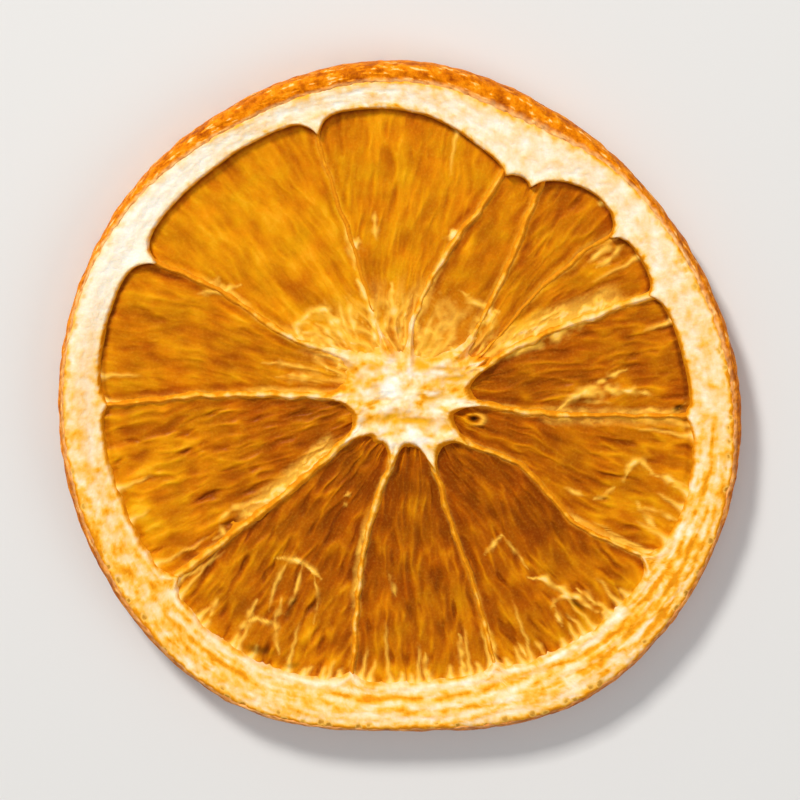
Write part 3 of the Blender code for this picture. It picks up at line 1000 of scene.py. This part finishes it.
def frayedCore(radius, angle, drift, x, y, seed):
    # fibres and flecks that run out of the core into the flesh, at its top
    rope, fleck = fleshForm["ropes"], fleshForm["flecks"]
    frayed = northSide(angle) * ease(12.0, 6.0, radius)
    ropes = np.clip(1 - 2.6 * np.abs(hills(drift, radius, seed + 33, *rope["size"])), 0, 1)
    flecks = ease(0.35, 0.75, hills(x, y, seed + 34, *fleck["size"]))
    pale = 0.05 + rope["pale"] * ropes + fleck["pale"] * flecks
    return frayed * (rope["rise"] * ropes + fleck["rise"] * flecks), frayed * np.clip(pale, 0, 0.9)


def stalkMarks(radius, angle, inwards, seed):
    # pale stalks at uneven steps round the pith's inner edge: cream at their root, golden at their tip
    form = fleshForm
    shortest, longer = form["stalkLength"]
    tipWidth, rootWidth = form["stalkWidth"]
    tipPale, rootPale = form["stalkPale"]
    cell = np.floor(angle / form["stalkStep"])
    rise, pale = np.zeros_like(radius), np.zeros_like(radius)
    for neighbour in (-1, 0, 1):
        at = cell + neighbour
        chance = [hashed(at, at * 0, seed + number) for number in range(4)]
        centre = (at + 0.1 + 0.8 * chance[0]) * form["stalkStep"]
        length = shortest + longer * chance[1] ** 2.2
        lean = form["stalkLean"] * (chance[2] - 0.5)
        kept = chance[3] < everyThirty(form["stalks"], centre)
        bend = 0.25 * noise(radius / 1.2, at, seed + 4)
        off = np.abs(np.radians(angle - centre - lean * inwards / 4.0) * radius + bend)
        wide = tipWidth + rootWidth * np.exp(-inwards / 0.6)
        there = ease(length, length * 0.6, inwards) * kept * bell(off, wide)
        rise = np.maximum(rise, there)
        pale = np.maximum(pale, there * (tipPale + rootPale * np.exp(-inwards / 0.9)))
    return form["stalkRise"] * rise, pale


def fleshFace(number, radius, angle, left, right, pith, side):
    # height and marks of one face of a section
    form = fleshForm
    seed = seedFor(1000 + 50 * number, side, 500)
    x, y = flat(radius, angle)
    inwards = pith - radius
    # across the fibres, which draw together towards the core
    across = np.radians(angle - (left + right) / 2) * (9.0 + 0.55 * (radius - 9.0))
    drift = across + waves(form["drift"], radius, across, seed)
    drift += waves(form["fineDrift"], radius, across, seed + 3)
    relief, tone = pulpRelief(sections[number], radius, across, drift, x, y, seed)
    sideRise, sidePale, crease, past = webSides(number, radius, angle, x, y, seed)
    height = fleshLevel(radius) + waves(form["swell"], x, y, seed + 27, 3)
    height += relief * ease(-0.1, 1.0, past) + sideRise
    height -= form["crease"] * bell(inwards - 0.15, 0.25)
    # painted shade under the pith's edge at the top, turned from the light; painted light near it at the
    # bottom
    shaded = ease(-0.5, 0.3, np.sin(np.radians(angle)))
    tone += form["creasePaintedShade"] * crease - form["northShade"] * shaded * ease(0.8, 0.25, inwards)
    tone += form["southGlow"] * (1 - shaded) * ease(3.0, 0.0, inwards)
    rises, pales = zip(
        fringeMarks(number, radius, angle, drift, x, y, seed),
        frayedCore(radius, angle, drift, x, y, seed),
        stalkMarks(radius, angle, inwards, seed + 36),
    )
    height += sum(rises)
    strand = np.maximum.reduce([sidePale, *pales])
    # painted shadow: a dark line just under the pith's edge at the top, carried by the pit mark
    gap = form["paintedEdgeShadow"] * shaded * bell(inwards - 0.32, 0.17)
    paintedShade = gap * (0.8 + 0.5 * hills(x, y, seed + 40, 0.7))
    if side == top:
        pale, rise = strandMarks(x, y)
        dark, sunk, lip = pitMarks(x, y)
        paintedShade = np.maximum(paintedShade, dark)
        height += rise - sunk
        tone += form["lipTone"] * lip
        strand = np.maximum.reduce([strand, pale, form["lipPale"] * lip * ease(5.6, 8.0, x)])
        for place in blotches:
            tone += place["tone"] * bell(inOval(x, y, place), 1)
    marks = {
        "tone": np.clip(tone, 0, 1),
        "strand": np.clip(strand, 0, 1),
        "pit": np.clip(paintedShade, 0, 1),
        "pulpPlace": np.stack([drift / 0.22, radius / 1.5, np.full_like(radius, seed * 0.37)], axis=-1),
    }
    return height, marks


def makeFlesh(number, material):
    form, section = fleshForm, sections[number]
    outer = np.array([sliceForm["webRadii"][-1]])
    wide = math.radians(float(webAngle(number + 1, outer)[0] - webAngle(number, outer)[0]))
    columns = max(form["leastColumns"], round(wide * outer[0] / form["spacing"]))
    reach = section["pith"] - section["core"] + form["underCore"] + form["underPith"]
    rows = round(reach / form["spacing"])
    across = np.linspace(0, 1, columns + 1)[None, :]
    along = np.linspace(0, 1, rows + 1)[:, None]
    radius = mix(section["core"], section["pith"], along) + 0 * across
    for _ in range(4):
        # radius and angle hang on each other
        angle = mix(webAngle(number, radius), webAngle(number + 1, radius), across)
        pith = pithEdge(angle)
        radius = mix(coreRing(angle) - form["underCore"], pith + form["underPith"], along)
    left, right = webAngle(number, radius), webAngle(number + 1, radius)
    angle = mix(left, right, across)

    def faceOf(side):
        return fleshFace(number, radius, angle, left, right, pith, side)

    keep = np.ones((rows, columns), bool)
    piece = closedPlate("flesh" + str(number + 1), bothFaces(radius, angle, faceOf), keep, False, material)
    return dress(piece)


# Core and webs: one piece, a lumpy hub with an arm along each web

coreForm = {
    "rowSpacing": 0.16,
    "hubLength": 8.0,         # lengths that the rows are counted for
    "armLength": 20.0,
    "startRadii": (0.5, 7.0, 27.0),  # about where the grid's middle, the hub's end and the arms' ends are
    "leastRadius": 5.0,       # the columns keep their angles inside this
    "webCells": 12,
    "webCrowding": 1.3,       # how the columns crowd towards a web's crest
    "webReach": 1.10,         # how far each side of a web its arm is made
    "gapReach": 0.42,         # and at most this share of the way to the next web
    "gapCell": 2.6,           # width in degrees of the cells between webs
    "sink": 0.34,             # how deep the arm's edges lie in the flesh
    "pastCore": 1.50,
    "slot": 1.7,              # a gap between webs narrower than this is filled
    "pastPith": 0.7,
    "roll": 0.20,             # the core's rounded edge
    "cleanEdge": (0.25, 1.0),  # where the core's side starts and ends about its edge
    "frayedEdge": (0.90, 2.4),
    # height, and width or width and length, of the hub's lumps, their sideways wander, wrinkles and
    # grain, and of the arms' frills and grain
    "lump": (0.24, 2.4),
    "wander": (0.4, 2.2),
    "wrinkle": (0.05, 1.1),
    "grain": (0.03, 0.5),
    "frill": (0.05, 0.5),
    "armGrain": (0.015, 0.4),
    # how golden hub and webs are, and the strength and size of their golden patches
    "hubWarm": 0.61,
    "hubPatches": (0.46, 2.0, 1.3),
    "hubThreads": (0.16, 1.4, 0.42),
    "hubSpeckle": (0.15, 0.6),
    "webWarm": 1.17,
    "webPale": 0.56,          # how much less golden a web is where it is pale
    "webPatches": (0.24, 1.3, 9.0),
    "webSpeckle": (0.12, 0.5),
}

# Golden smudges and creases in the core
smudges = rowsOf(
    "at half turn stain dent",
    ((0.6, -2.4), (2.8, 0.40), -3.0, 1.0, 0.20),
    ((-1.4, -2.0), (0.9, 0.50), 20.0, 0.95, 0.10),
    ((4.3, 1.5), (1.8, 0.32), 5.0, 0.90, 0.12),
    ((-3.2, 2.5), (0.60, 0.45), 0.0, 0.85, 0.10),
    ((-2.8, 0.6), (0.40, 0.30), 30.0, 0.60, 0.12),
    ((1.3, 2.8), (0.90, 0.40), -20.0, 0.85, 0.08),
    ((3.4, 2.4), (1.3, 0.26), -8.0, 0.75, 0.10),
    ((-4.6, 1.2), (0.60, 0.34), 50.0, 0.75, 0.08),
    ((2.6, -0.3), (1.0, 0.26), 25.0, 0.55, 0.06),
    ((3.6, -2.9), (0.7, 0.35), 30.0, 0.70, 0.06),
)


# Whiter places in the core
whitePlaces = rowsOf(
    "at half turn white",
    ((-1.6, 0.4), (1.7, 1.6), 0.0, 0.56),
    ((0.0, -4.2), (3.2, 0.9), 0.0, 0.36),
)


def webRidges(radius, angle, x, y, seed):
    # how high the nearest web stands, how near its crest is, from 0 to 1, and how pale it is
    ridge, near, pale = (np.zeros_like(radius) for _ in range(3))
    for number, web in enumerate(webs):
        off = fromWeb(number, radius, angle)
        own = np.full_like(radius, 2.3 * number)
        wide = webLine(number, "wide", radius) * (0.98 + 0.35 * noise(radius / 1.5, own, seed + 1))
        here = bell(off + waves(coreForm["frill"], x, y, seed + 11), wide)
        stands = web["stands"] * (0.98 + 0.30 * noise(radius / 1.4, own + 9, seed + 2))
        ridge = np.maximum(ridge, stands * here)
        near = np.maximum(near, here)
        pale = np.where(off < coreForm["webReach"], webLine(number, "pale", radius), pale)
    return ridge, near, pale


def coreFace(radius, angle, side):
    form = coreForm
    seed = seedFor(3000, side)
    x, y = flat(radius, angle)
    ridge, crest, pale = webRidges(radius, angle, x, y, seed)
    arm = fleshLevel(radius) + ridge - form["sink"] * (1 - crest) + waves(form["armGrain"], x, y, seed + 4)
    bentX = x + waves(form["wander"], x, y, seed + 5)
    bentY = y + waves(form["wander"], x, y, seed + 6)
    hub = sliceForm["coreThickness"] / 2 + waves(form["lump"], bentX, bentY, seed + 7, 3)
    hub += form["wrinkle"][0] - np.abs(waves(form["wrinkle"], bentX, bentY, seed + 8, 3))
    hub += waves(form["grain"], x, y, seed + 12, 3)
    edge = coreEdge(angle)
    frayed = northSide(angle)
    outside, inside = (mix(*ends, frayed) for ends in zip(form["cleanEdge"], form["frayedEdge"]))
    inCore = ease(edge + outside, edge - inside, radius)
    if side == top:
        stain = np.zeros_like(radius)
        for smudge in smudges:
            there = bell(inOval(x, y, smudge) * (1 + 0.35 * hills(x, y, seed + 13, 0.7)), 1)
            stain = np.maximum(stain, smudge["stain"] * there)
            hub -= smudge["dent"] * there
    else:
        stain = 0.6 * ease(0.2, 0.8, hills(bentX, bentY, seed + 9, 1.5, layers=3))
    rolled = form["roll"] * bell(radius - edge + 0.9, 0.7) * inCore * (1 - frayed)
    height = mix(arm, hub, inCore) + rolled
    # the webs' colour: golden down their sides as painted shade, but not where the core frays out
    mottled = waves(form["webPatches"], radius, angle, seed + 10)
    mottled += waves(form["webSpeckle"], x, y, seed + 14)
    outer = 1 - frayed * ease(edge + 2.4, edge + 0.8, radius)
    warmWeb = form["webWarm"] - form["webPale"] * pale + mottled + 0.75 * (1 - crest) ** 1.3 * outer
    warmWeb = mix(np.minimum(warmWeb, 0.62 + mottled), warmWeb, outer)
    # the hub's: patches, threads across its middle, whiter places, and a golden band of painted shade down
    # its side
    warmHub = form["hubWarm"] + waves(form["hubPatches"], bentX, bentY, seed + 16, 3)
    warmHub += waves(form["hubSpeckle"], x, y, seed + 15, 3)
    nearMiddle = 1 - ease(1.5, 5.0, np.abs(y) + 0.3 * np.abs(x))
    warmHub += waves(form["hubThreads"], x, y, seed + 17) * nearMiddle
    for place in whitePlaces:
        warmHub -= place["white"] * bell(inOval(x, y, place), 1)
    warmHub += 0.24 * frayed * ease(edge - 3.0, edge + 0.4, radius)
    # painted shade: a golden band down the hub's side
    warmHub += 1.6 * inCore * (1 - inCore) * (1 - frayed)
    marks = {
        "warm": np.clip(mix(warmWeb, warmHub, inCore), 0, 1),
        "stain": np.clip(1.2 * stain * ease(edge, edge - 0.8, radius), 0, 1),
        "gland": np.zeros_like(radius),
    }
    return height, marks


def coreColumns(radius):
    # the angle of each column at a radius: cells over each web, and cells over the gap after it; then
    # which cells lie on a web, and the web that each column follows
    form = coreForm
    spread = np.linspace(-1, 1, form["webCells"] + 1)
    spread = np.sign(spread) * np.abs(spread) ** form["webCrowding"]
    inner = np.array([sliceForm["webRadii"][0]])
    angles, isWeb, owner = [], [], []
    for number in range(len(webs)):
        here = webAngle(number, radius)
        gapAfter = webAngle(number + 1, radius) - here
        gapBefore = here - webAngle(number - 1, radius)
        reach = np.degrees(form["webReach"] / np.maximum(radius, 0.5))
        after, before = (np.minimum(reach, form["gapReach"] * gap) for gap in (gapAfter, gapBefore))
        angles += [here + share * (after if share > 0 else before) for share in spread]
        turn = webAngle(number + 1, inner)[0] - webAngle(number, inner)[0]
        inside = max(1, round(turn / form["gapCell"]))
        start, end = here + after, here + gapAfter - after
        angles += [mix(start, end, step / inside) for step in range(1, inside)]
        isWeb += [True] * form["webCells"] + [False] * inside
        owner += [number] * (form["webCells"] + inside)
    return np.stack(angles, axis=-1), np.array(isWeb), np.array(owner)


def makeCore(material):
    form = coreForm
    hubRows, armRows = (round(form[length] / form["rowSpacing"]) for length in ("hubLength", "armLength"))
    share = np.concatenate([np.linspace(0, 1, hubRows + 1), 1 + np.linspace(0, 1, armRows + 1)[1:]])
    _, isWeb, owner = coreColumns(np.ones(1))
    columns = len(owner)
    grid = share[:, None]
    radius = np.interp(grid, (0, 1, 2), form["startRadii"]) * np.ones((1, columns))
    for _ in range(4):
        # each column's angle is read at that column's own radius
        held = np.maximum(radius, form["leastRadius"])
        angle = np.stack([coreColumns(held[:, c])[0][:, c] for c in range(columns)], axis=1)
        hubEnd = coreRing(angle) + form["pastCore"]
        armEnd = pithEdge(angle) + form["pastPith"]
        radius = np.where(grid <= 1, grid * hubEnd, mix(hubEnd, armEnd, grid - 1))
    gap = np.zeros_like(radius)
    for number in range(len(webs)):
        own = owner == number
        between = webAngle(number + 1, radius[:, own]) - webAngle(number, radius[:, own])
        gap[:, own] = np.radians(between) * radius[:, own]
    keep = (grid[:-1] < 1) | isWeb[None, :] | (gap[:-1] < form["slot"])
    twoFaces = bothFaces(radius, angle, lambda side: coreFace(radius, angle, side))
    return dress(welded(closedPlate("coreAndWebs", twoFaces, keep, True, material)))


# Pith ring

pithForm = {
    "columns": 1000,
    "faceRows": 34,
    "underFlesh": 0.9,        # how far the ring runs in under the flesh
    "pastEdge": 0.07,         # and out under the rind's lip, as a share of the rim
    # where its inner wall starts and ends about the flesh's edge, at the top and at the bottom
    "topWall": (-0.40, 0.06),
    "bottomWall": (-0.12, 0.42),
    "wallFoot": 0.30,         # how far under the flesh's face that wall starts
    "flatter": 0.42,          # how much higher its inner part stands at the top than at the bottom
    "coarse": (0.06, 1.5),    # height and size of its uneven face
    "fine": (0.03, 0.55),
    "streakRise": 0.07,
    "streakSize": (3.4, 0.55),  # how long and wide the streaks are
    "streakBend": (0.4, 2.5, 1.0),  # how much, and over what length, streaks and grooves wander
    "grooveBend": (0.22, 1.6),
    "brim": 0.10,             # a low swelling along the inner edge, at the bottom; its place and width
    "brimAt": 0.55,
    "brimWidth": 0.28,
    "lipDrop": 0.42,          # how deep it goes down under the rind's lip
    # every 30 degrees: how golden it is, how mottled, how much that runs round in streaks, and how
    # plainly its oil glands show
    "golden": (0.56, 0.38, 0.31, 0.32, 0.26, 0.06, 0.50, 0.72, 0.65, 0.60, 0.60, 0.73),
    "mottled": (0.36, 0.34, 0.30, 0.40, 0.32, 0.18, 0.32, 0.42, 0.40, 0.36, 0.42, 0.52),
    "streaky": (0.25, 0.20, 0.30, 0.60, 0.60, 0.40, 0.15, 0.40, 0.80, 1.00, 1.00, 0.80),
    "glands": (0.9, 0.6, 0.25, 0.15, 0.10, 0.25, 0.6, 0.9, 1.0, 0.9, 0.9, 1.0),
    "glandStep": 1.0,
    "glandDent": 0.06,
    "glandSwell": 0.04,       # how far the pith bulges between the glands
}

# Grooves that run round the pith: half width, depth, and (angle, share of the rim) points
grooves = rowsOf(
    "wide depth line",
    (0.22, 0.20, ((-108.0, 0.22), (-96.0, 0.30), (-84.0, 0.34), (-72.0, 0.30))),
    (0.20, 0.22, ((-78.0, 0.20), (-62.0, 0.24), (-50.0, 0.30), (-36.0, 0.26), (-26.0, 0.34))),
    (0.24, 0.24, ((-66.0, 0.46), (-54.0, 0.50), (-42.0, 0.46), (-30.0, 0.52), (-18.0, 0.50))),
    (0.18, 0.15, ((-92.0, 0.56), (-78.0, 0.52), (-66.0, 0.60))),
    (0.18, 0.14, ((-50.0, 0.66), (-38.0, 0.70), (-26.0, 0.68))),
    (0.20, 0.12, ((-24.0, 0.30), (-12.0, 0.40), (-2.0, 0.36))),
    (0.20, 0.10, ((-140.0, 0.40), (-128.0, 0.34), (-116.0, 0.42))),
)


def grooveMarks(angle, share, rim, x, y, seed):
    groove, dent = np.zeros_like(share), np.zeros_like(share)
    around = np.mod(angle + 180.0, 360.0) - 180.0
    for number, line in enumerate(grooves):
        angles, shares = zip(*line["line"])
        off = (share - np.interp(around, angles, shares)) * rim
        off += waves(pithForm["grooveBend"], x, y, seed + number)
        ends = ease(angles[0], angles[0] + 5, around) * ease(angles[-1], angles[-1] - 5, around)
        broken = ends * (0.65 + 0.5 * hills(x, y, seed + 20 + number, 1.3))
        here = bell(off, line["wide"]) * np.clip(broken, 0, 1)
        groove = np.maximum(groove, here)
        dent = np.maximum(dent, line["depth"] * here)
    return groove, dent


def pithFace(share, radius, angle, pith, rim, edge, side):
    form = pithForm
    seed = seedFor(5000, side)
    turn = np.radians(angle)
    x, y = flat(radius, angle)
    depth = radius - pith
    north, south = ease(-0.3, 0.7, np.sin(turn)), ease(0.2, -0.7, np.sin(turn))
    golden, mottled, streaky, glands = (
        everyThirty(form[key], angle) for key in ("golden", "mottled", "streaky", "glands"))
    wallStart, wallEnd = (mix(*ends, north) for ends in zip(form["bottomWall"], form["topWall"]))
    inWall = ease(wallStart, wallEnd, depth)
    (coarseRise, coarseSize), (fineRise, fineSize) = form["coarse"], form["fine"]
    coarse = hills(x, y, seed, coarseSize, layers=3)
    fine = hills(x, y, seed + 2, fineSize, layers=3)
    ring = pithRing(angle)
    plain = (radius - ring) / (rim + pith - ring)
    groove, dent = grooveMarks(angle, plain, rim, x, y, seed + 40)
    around, beside = turn * sliceForm["skinRadius"], radius - ring
    long, wide = form["streakSize"]
    bent = beside / wide + waves(form["streakBend"], around, beside, seed + 10)
    streak = hills(around / long, bent, seed + 9, 1, layers=3)
    # oil glands just inside the rind, with the pith bulging between them
    _, near, own = cells(around / form["glandStep"], (share - edge) * rim / form["glandStep"], seed + 6)
    ragged = 0.03 * noise(around / 0.8, around * 0, seed + 8)
    band = ease(edge - 0.20, edge - 0.08, share + ragged) * ease(edge + 0.04, edge - 0.02, share)
    gland = ease(0.42, 0.20, near * (1.5 - 0.7 * own)) * band * glands * ease(0.25, 0.6, own)
    brim = bell(depth - form["brimAt"], form["brimWidth"]) * south
    drop = ease(edge - 0.02, edge + form["pastEdge"] - 0.01, share)
    face = rimLevel(plain) + form["flatter"] * north * ease(sliceForm["crestAt"], 0.0, plain)
    height = mix(fleshLevel(radius) - form["wallFoot"], face, inWall)
    relief = coarseRise * coarse + fineRise * fine - dent + form["streakRise"] * streaky * streak
    height += inWall * relief + form["brim"] * brim - form["lipDrop"] * drop
    height += form["glandSwell"] * band * ease(0.3, 0.7, near) - form["glandDent"] * gland
    mottle = mix(0.85 * coarse, 0.30 * coarse + 0.85 * streak, streaky) + 0.35 * fine
    warm = golden + mottled * mottle + 0.45 * groove - 0.40 * brim * golden
    warm += 0.12 * south * ease(0.30, 0.02, share) + 0.16 * north * ease(0.60, 1.0, share / edge)
    # painted shade: the inner wall is golden except at the bottom, where the light falls on it, with a
    # golden band along its top; and the edge beside the rind is golden wherever glands are plain
    shadedSide = ease(-0.75, 0.25, np.sin(turn))
    warm += 0.75 * shadedSide * (1 - inWall) ** 0.7
    warm += 0.34 * shadedSide * bell(np.maximum(depth - 0.05, 0), 0.35) * (0.8 + 0.6 * fine)
    warm += 0.45 * ease(edge - 0.09, edge - 0.01, share + ragged) * (0.4 + 0.6 * glands)
    marks = {
        "warm": np.clip(warm, 0, 1),
        "stain": np.clip(0.50 * groove * ease(0.0, 0.6, fine + 0.3), 0, 1),
        "gland": np.clip(0.95 * gland, 0, 1),
    }
    return height, marks


def makePith(material):
    form = pithForm
    angle = np.linspace(0, 360, form["columns"], endpoint=False)[None, :]
    pith, ring, rim = pithEdge(angle), pithRing(angle), rimRadius(angle)
    wide = rim - pith
    edge = (ring + rindEdge(angle) * (rim - ring) - pith) / wide
    down = np.linspace(0, 1, form["faceRows"])[:, None]
    share = mix(-form["underFlesh"] / wide, edge + form["pastEdge"], down)
    radius = pith + share * wide
    angle, pith, wide, edge = (np.broadcast_to(value, radius.shape) for value in (angle, pith, wide, edge))

    def faceOf(side):
        return pithFace(share, radius, angle, pith, wide, edge, side)

    keep = np.ones((form["faceRows"] - 1, form["columns"]), bool)
    return dress(closedPlate("pithRing", bothFaces(radius, angle, faceOf), keep, True, material))


# Rind

rindForm = {
    "columns": 1000,
    "sideRows": 26,           # from the lip to the outside, on each face
    "backRows": 6,
    "backLevel": 0.8,         # how much of the lip's height the hidden back wall spans
    "lead": 0.08,             # how far the rind runs in under the pith, as a share of the rim
    "sink": 0.42,
    "faceLength": 5.0,        # path length for a share of the rim on the flat of the face
    "pathLength": 2.0,        # millimetres for a unit of path
    "glandSize": 0.80,
    "glandDent": 0.11,
    "wrinkle": 0.09,
    "pebble": 0.07,
    "pebbleSize": 1.5,
    "mostBulge": 0.12,        # no dent or wrinkle pushes the skin out further than this
    "dentOnFace": 0.7,        # how much of the dents' depth the flat of the face shows
    "fleckSize": (1.6, 0.5),  # bright flecks in the skin, and how much brighter they are
    "fleckBright": 1.25,
    "highlightAt": -0.38,       # painted highlight low on the side: its place and width, as shares of the height
    "highlightWidth": 0.07,
    # how bright the skin is, every 30 degrees
    "bright": (0.40, 0.47, 0.43, 0.45, 0.44, 0.52, 0.50, 0.38, 0.36, 0.28, 0.24, 0.28),
    # how pale its lip is
    "lip": (0.40, 0.66, 0.55, 0.48, 0.48, 0.66, 0.52, 0.35, 0.45, 0.35, 0.25, 0.35),
}


def rindPath(edge):
    # down the rind's section from its inner lip on top to its outside: share of the rim, how squarely the
    # skin faces outwards, and the path itself, which is an angle once the face turns down
    form = rindForm
    turnStart, turnLength = sliceForm["turnStart"], sliceForm["turnLength"]
    power = sliceForm["turnPower"] / 2
    begin = edge - form["lead"]
    onCurve = np.arcsin(np.clip((begin - turnStart) / turnLength, 0, 1) ** power)
    start = np.where(begin < turnStart, (begin - turnStart) * form["faceLength"], onCurve)
    path = mix(start, math.pi / 2, np.linspace(0, 1, form["sideRows"])[:, None])
    out = np.sin(np.clip(path, 0, None))
    onFace = turnStart + path / form["faceLength"]
    share = np.where(path < 0, onFace, turnStart + turnLength * out ** (1 / power))
    return np.minimum(share, 1.0), out, path


def rindSection(edge):
    # the whole way round the section: over the top, down the outside, back below and up behind the lip
    form = rindForm
    share, out, path = rindPath(edge)
    level = rimLevel(share)
    back = np.linspace(0, 1, form["backRows"] + 2)[1:-1, None]
    backLevel = mix(-form["backLevel"], form["backLevel"], back) * level[:1]
    face = np.concatenate([np.sign(level), -np.sign(level[-2::-1]), 0 * backLevel])
    share = np.concatenate([share, share[-2::-1], share[:1] + 0 * back])
    out = np.concatenate([out, out[-2::-1], 0 * backLevel])
    path = np.concatenate([path, math.pi - path[-2::-1], 0 * back + path[:1]])
    level = np.concatenate([level, -level[-2::-1], backLevel])
    return share, out, path, level, face


def makeRind(material):
    form = rindForm
    angle = np.linspace(0, 360, form["columns"], endpoint=False)[None, :]
    ring, rim, edge = pithRing(angle), rimRadius(angle), rindEdge(angle)
    share, out, path, level, face = rindSection(edge)
    angle = angle + 0 * share
    turn = np.radians(angle)
    ringX, ringY = np.cos(turn), np.sin(turn)
    around, section = turn * sliceForm["skinRadius"], path * form["pathLength"]
    _, near, own = cells(around / form["glandSize"], section / form["glandSize"], 71)
    gland = ease(0.42, 0.12, near) * (0.35 + 0.65 * own)
    wrinkle = hills(ringX * 14 + section / 3, ringY * 14 - section / 4, 73, 1, layers=3)
    pebble = hills(around, section, 77, form["pebbleSize"])
    dent = form["wrinkle"] * wrinkle + form["pebble"] * pebble - form["glandDent"] * gland
    radius = ring + share * (rim - ring) + np.minimum(dent, form["mostBulge"]) * out
    sunk = form["sink"] * ease(edge + 0.01, edge - 0.055, share)
    height = level + face * (form["dentOnFace"] * dent * (1 - out) - sunk)
    # bright flecks, a pale lip, and a painted highlight: a pale line low on the side that the light catches
    bright = everyThirty(form["bright"], angle)
    flecks = ease(0.30, 0.75, hills(around, section, 87, *form["fleckSize"], layers=2))
    tone = bright + 0.16 * wrinkle + 0.14 * pebble + form["fleckBright"] * flecks * bright
    onLip = ease(edge + 0.11, edge + 0.02, share) * np.abs(face)
    lip = onLip * everyThirty(form["lip"], angle) * (1 + 0.8 * hills(around, section, 79, 0.7))
    paintedHighlight = bell(level / sliceForm["rimHeight"] - form["highlightAt"], form["highlightWidth"])
    paintedHighlight *= ease(-0.4, 0.5, np.sin(turn)) * ease(-0.35, 0.35, hills(around, section, 88, 1.3, 2.0))
    marks = {
        "tone": np.clip(tone, 0, 1).ravel(),
        "lip": np.clip(0.75 * paintedHighlight + lip, 0, 1).ravel(),
        "gland": np.clip(gland * mix(0.25, 0.75, onLip), 0, 1).ravel(),
    }
    rows, columns = share.shape
    faces = cellCorners(*np.indices((rows, columns)), rows, columns)
    points = placed(radius, angle, height).reshape(-1, 3)
    return dress(joinedMesh("rind", points, faces, marks, material))


# Floor, light and camera

stageForm = {
    "floorSize": 6.0,
    "floorColour": (0.70, 0.69, 0.675),
    "floorRoughness": 0.85,
    "worldColour": (0.97, 0.98, 1.0),
    "worldStrength": 0.34,
}

lightForm = {
    "key": {"from": (-0.34, 0.62, 0.62), "size": 0.16, "watts": 7.8, "colour": (1.0, 0.98, 0.94)},
    "fill": {"from": (0.60, -0.25, 0.55), "size": 0.50, "watts": 1.5, "colour": (0.97, 0.98, 1.0)},
    "above": {"from": (0.0, -0.05, 0.60), "size": 0.50, "watts": 0.55, "colour": (1.0, 1.0, 1.0)},
}

cameraForm = {
    "lean": 10.5,             # how far the view leans back from straight down, towards +Y
    "lens": 170.0,
    "sensor": 36.0,
    "frameWidth": 75.0,       # what the frame takes in at the slice
    "clip": (0.001, 20.0),
}


def makeStage():
    form = stageForm
    size = form["floorSize"] / 2
    corners = [(-size, -size, 0), (size, -size, 0), (size, size, 0), (-size, size, 0)]
    mesh = bpy.data.meshes.new("floor")
    mesh.from_pydata(corners, [], [(0, 1, 2, 3)])
    floor = bpy.data.objects.new("floor", mesh)
    bpy.context.scene.collection.objects.link(floor)
    material, _, shader = newMaterial("paleFloor")
    shader.inputs["Base Color"].default_value = (*form["floorColour"], 1.0)
    shader.inputs["Roughness"].default_value = form["floorRoughness"]
    mesh.materials.append(material)
    world = bpy.data.worlds.new("softStudio")
    world.use_nodes = True
    sky = world.node_tree.nodes["Background"]
    sky.inputs["Color"].default_value = (*form["worldColour"], 1.0)
    sky.inputs["Strength"].default_value = form["worldStrength"]
    bpy.context.scene.world = world


def makeLights():
    for name, look in lightForm.items():
        light = bpy.data.lights.new(name, "AREA")
        light.size = look["size"]
        light.energy = look["watts"]
        light.color = look["colour"]
        lamp = bpy.data.objects.new(name, light)
        bpy.context.scene.collection.objects.link(lamp)
        lamp.location = look["from"]
        lamp.rotation_euler = (-lamp.location).to_track_quat("-Z", "Y").to_euler()


def makeCamera():
    form = cameraForm
    camera = bpy.data.cameras.new("camera")
    camera.lens = form["lens"]
    camera.sensor_width = form["sensor"]
    camera.clip_start, camera.clip_end = form["clip"]
    holder = bpy.data.objects.new("camera", camera)
    bpy.context.scene.collection.objects.link(holder)
    lean = math.radians(form["lean"])
    distance = form["frameWidth"] * mm * form["lens"] / form["sensor"]
    back = Vector((0.0, math.sin(lean), math.cos(lean)))
    up = Vector((0.0, math.cos(lean), -math.sin(lean)))
    middle = Vector((0.0, 0.0, (cadBox[0][2] + cadBox[1][2]) / 2))
    turned = Matrix((Vector((1.0, 0.0, 0.0)), up, back)).transposed()
    holder.matrix_world = Matrix.Translation(middle + back * distance) @ turned.to_4x4()
    bpy.context.scene.camera = holder


bpy.context.scene.view_settings.view_transform = "Standard"
makeStage()
makeLights()
makeCamera()
print("stage, lights and camera made")

flesh, pith, rind = fleshMaterial(), pithMaterial(), rindMaterial()
print("materials made")
for number in range(len(sections)):
    makeFlesh(number, flesh)
print("flesh made")
makeCore(pith)
print("core and webs made")
makePith(pith)
print("pith ring made")
makeRind(rind)
print("rind made")
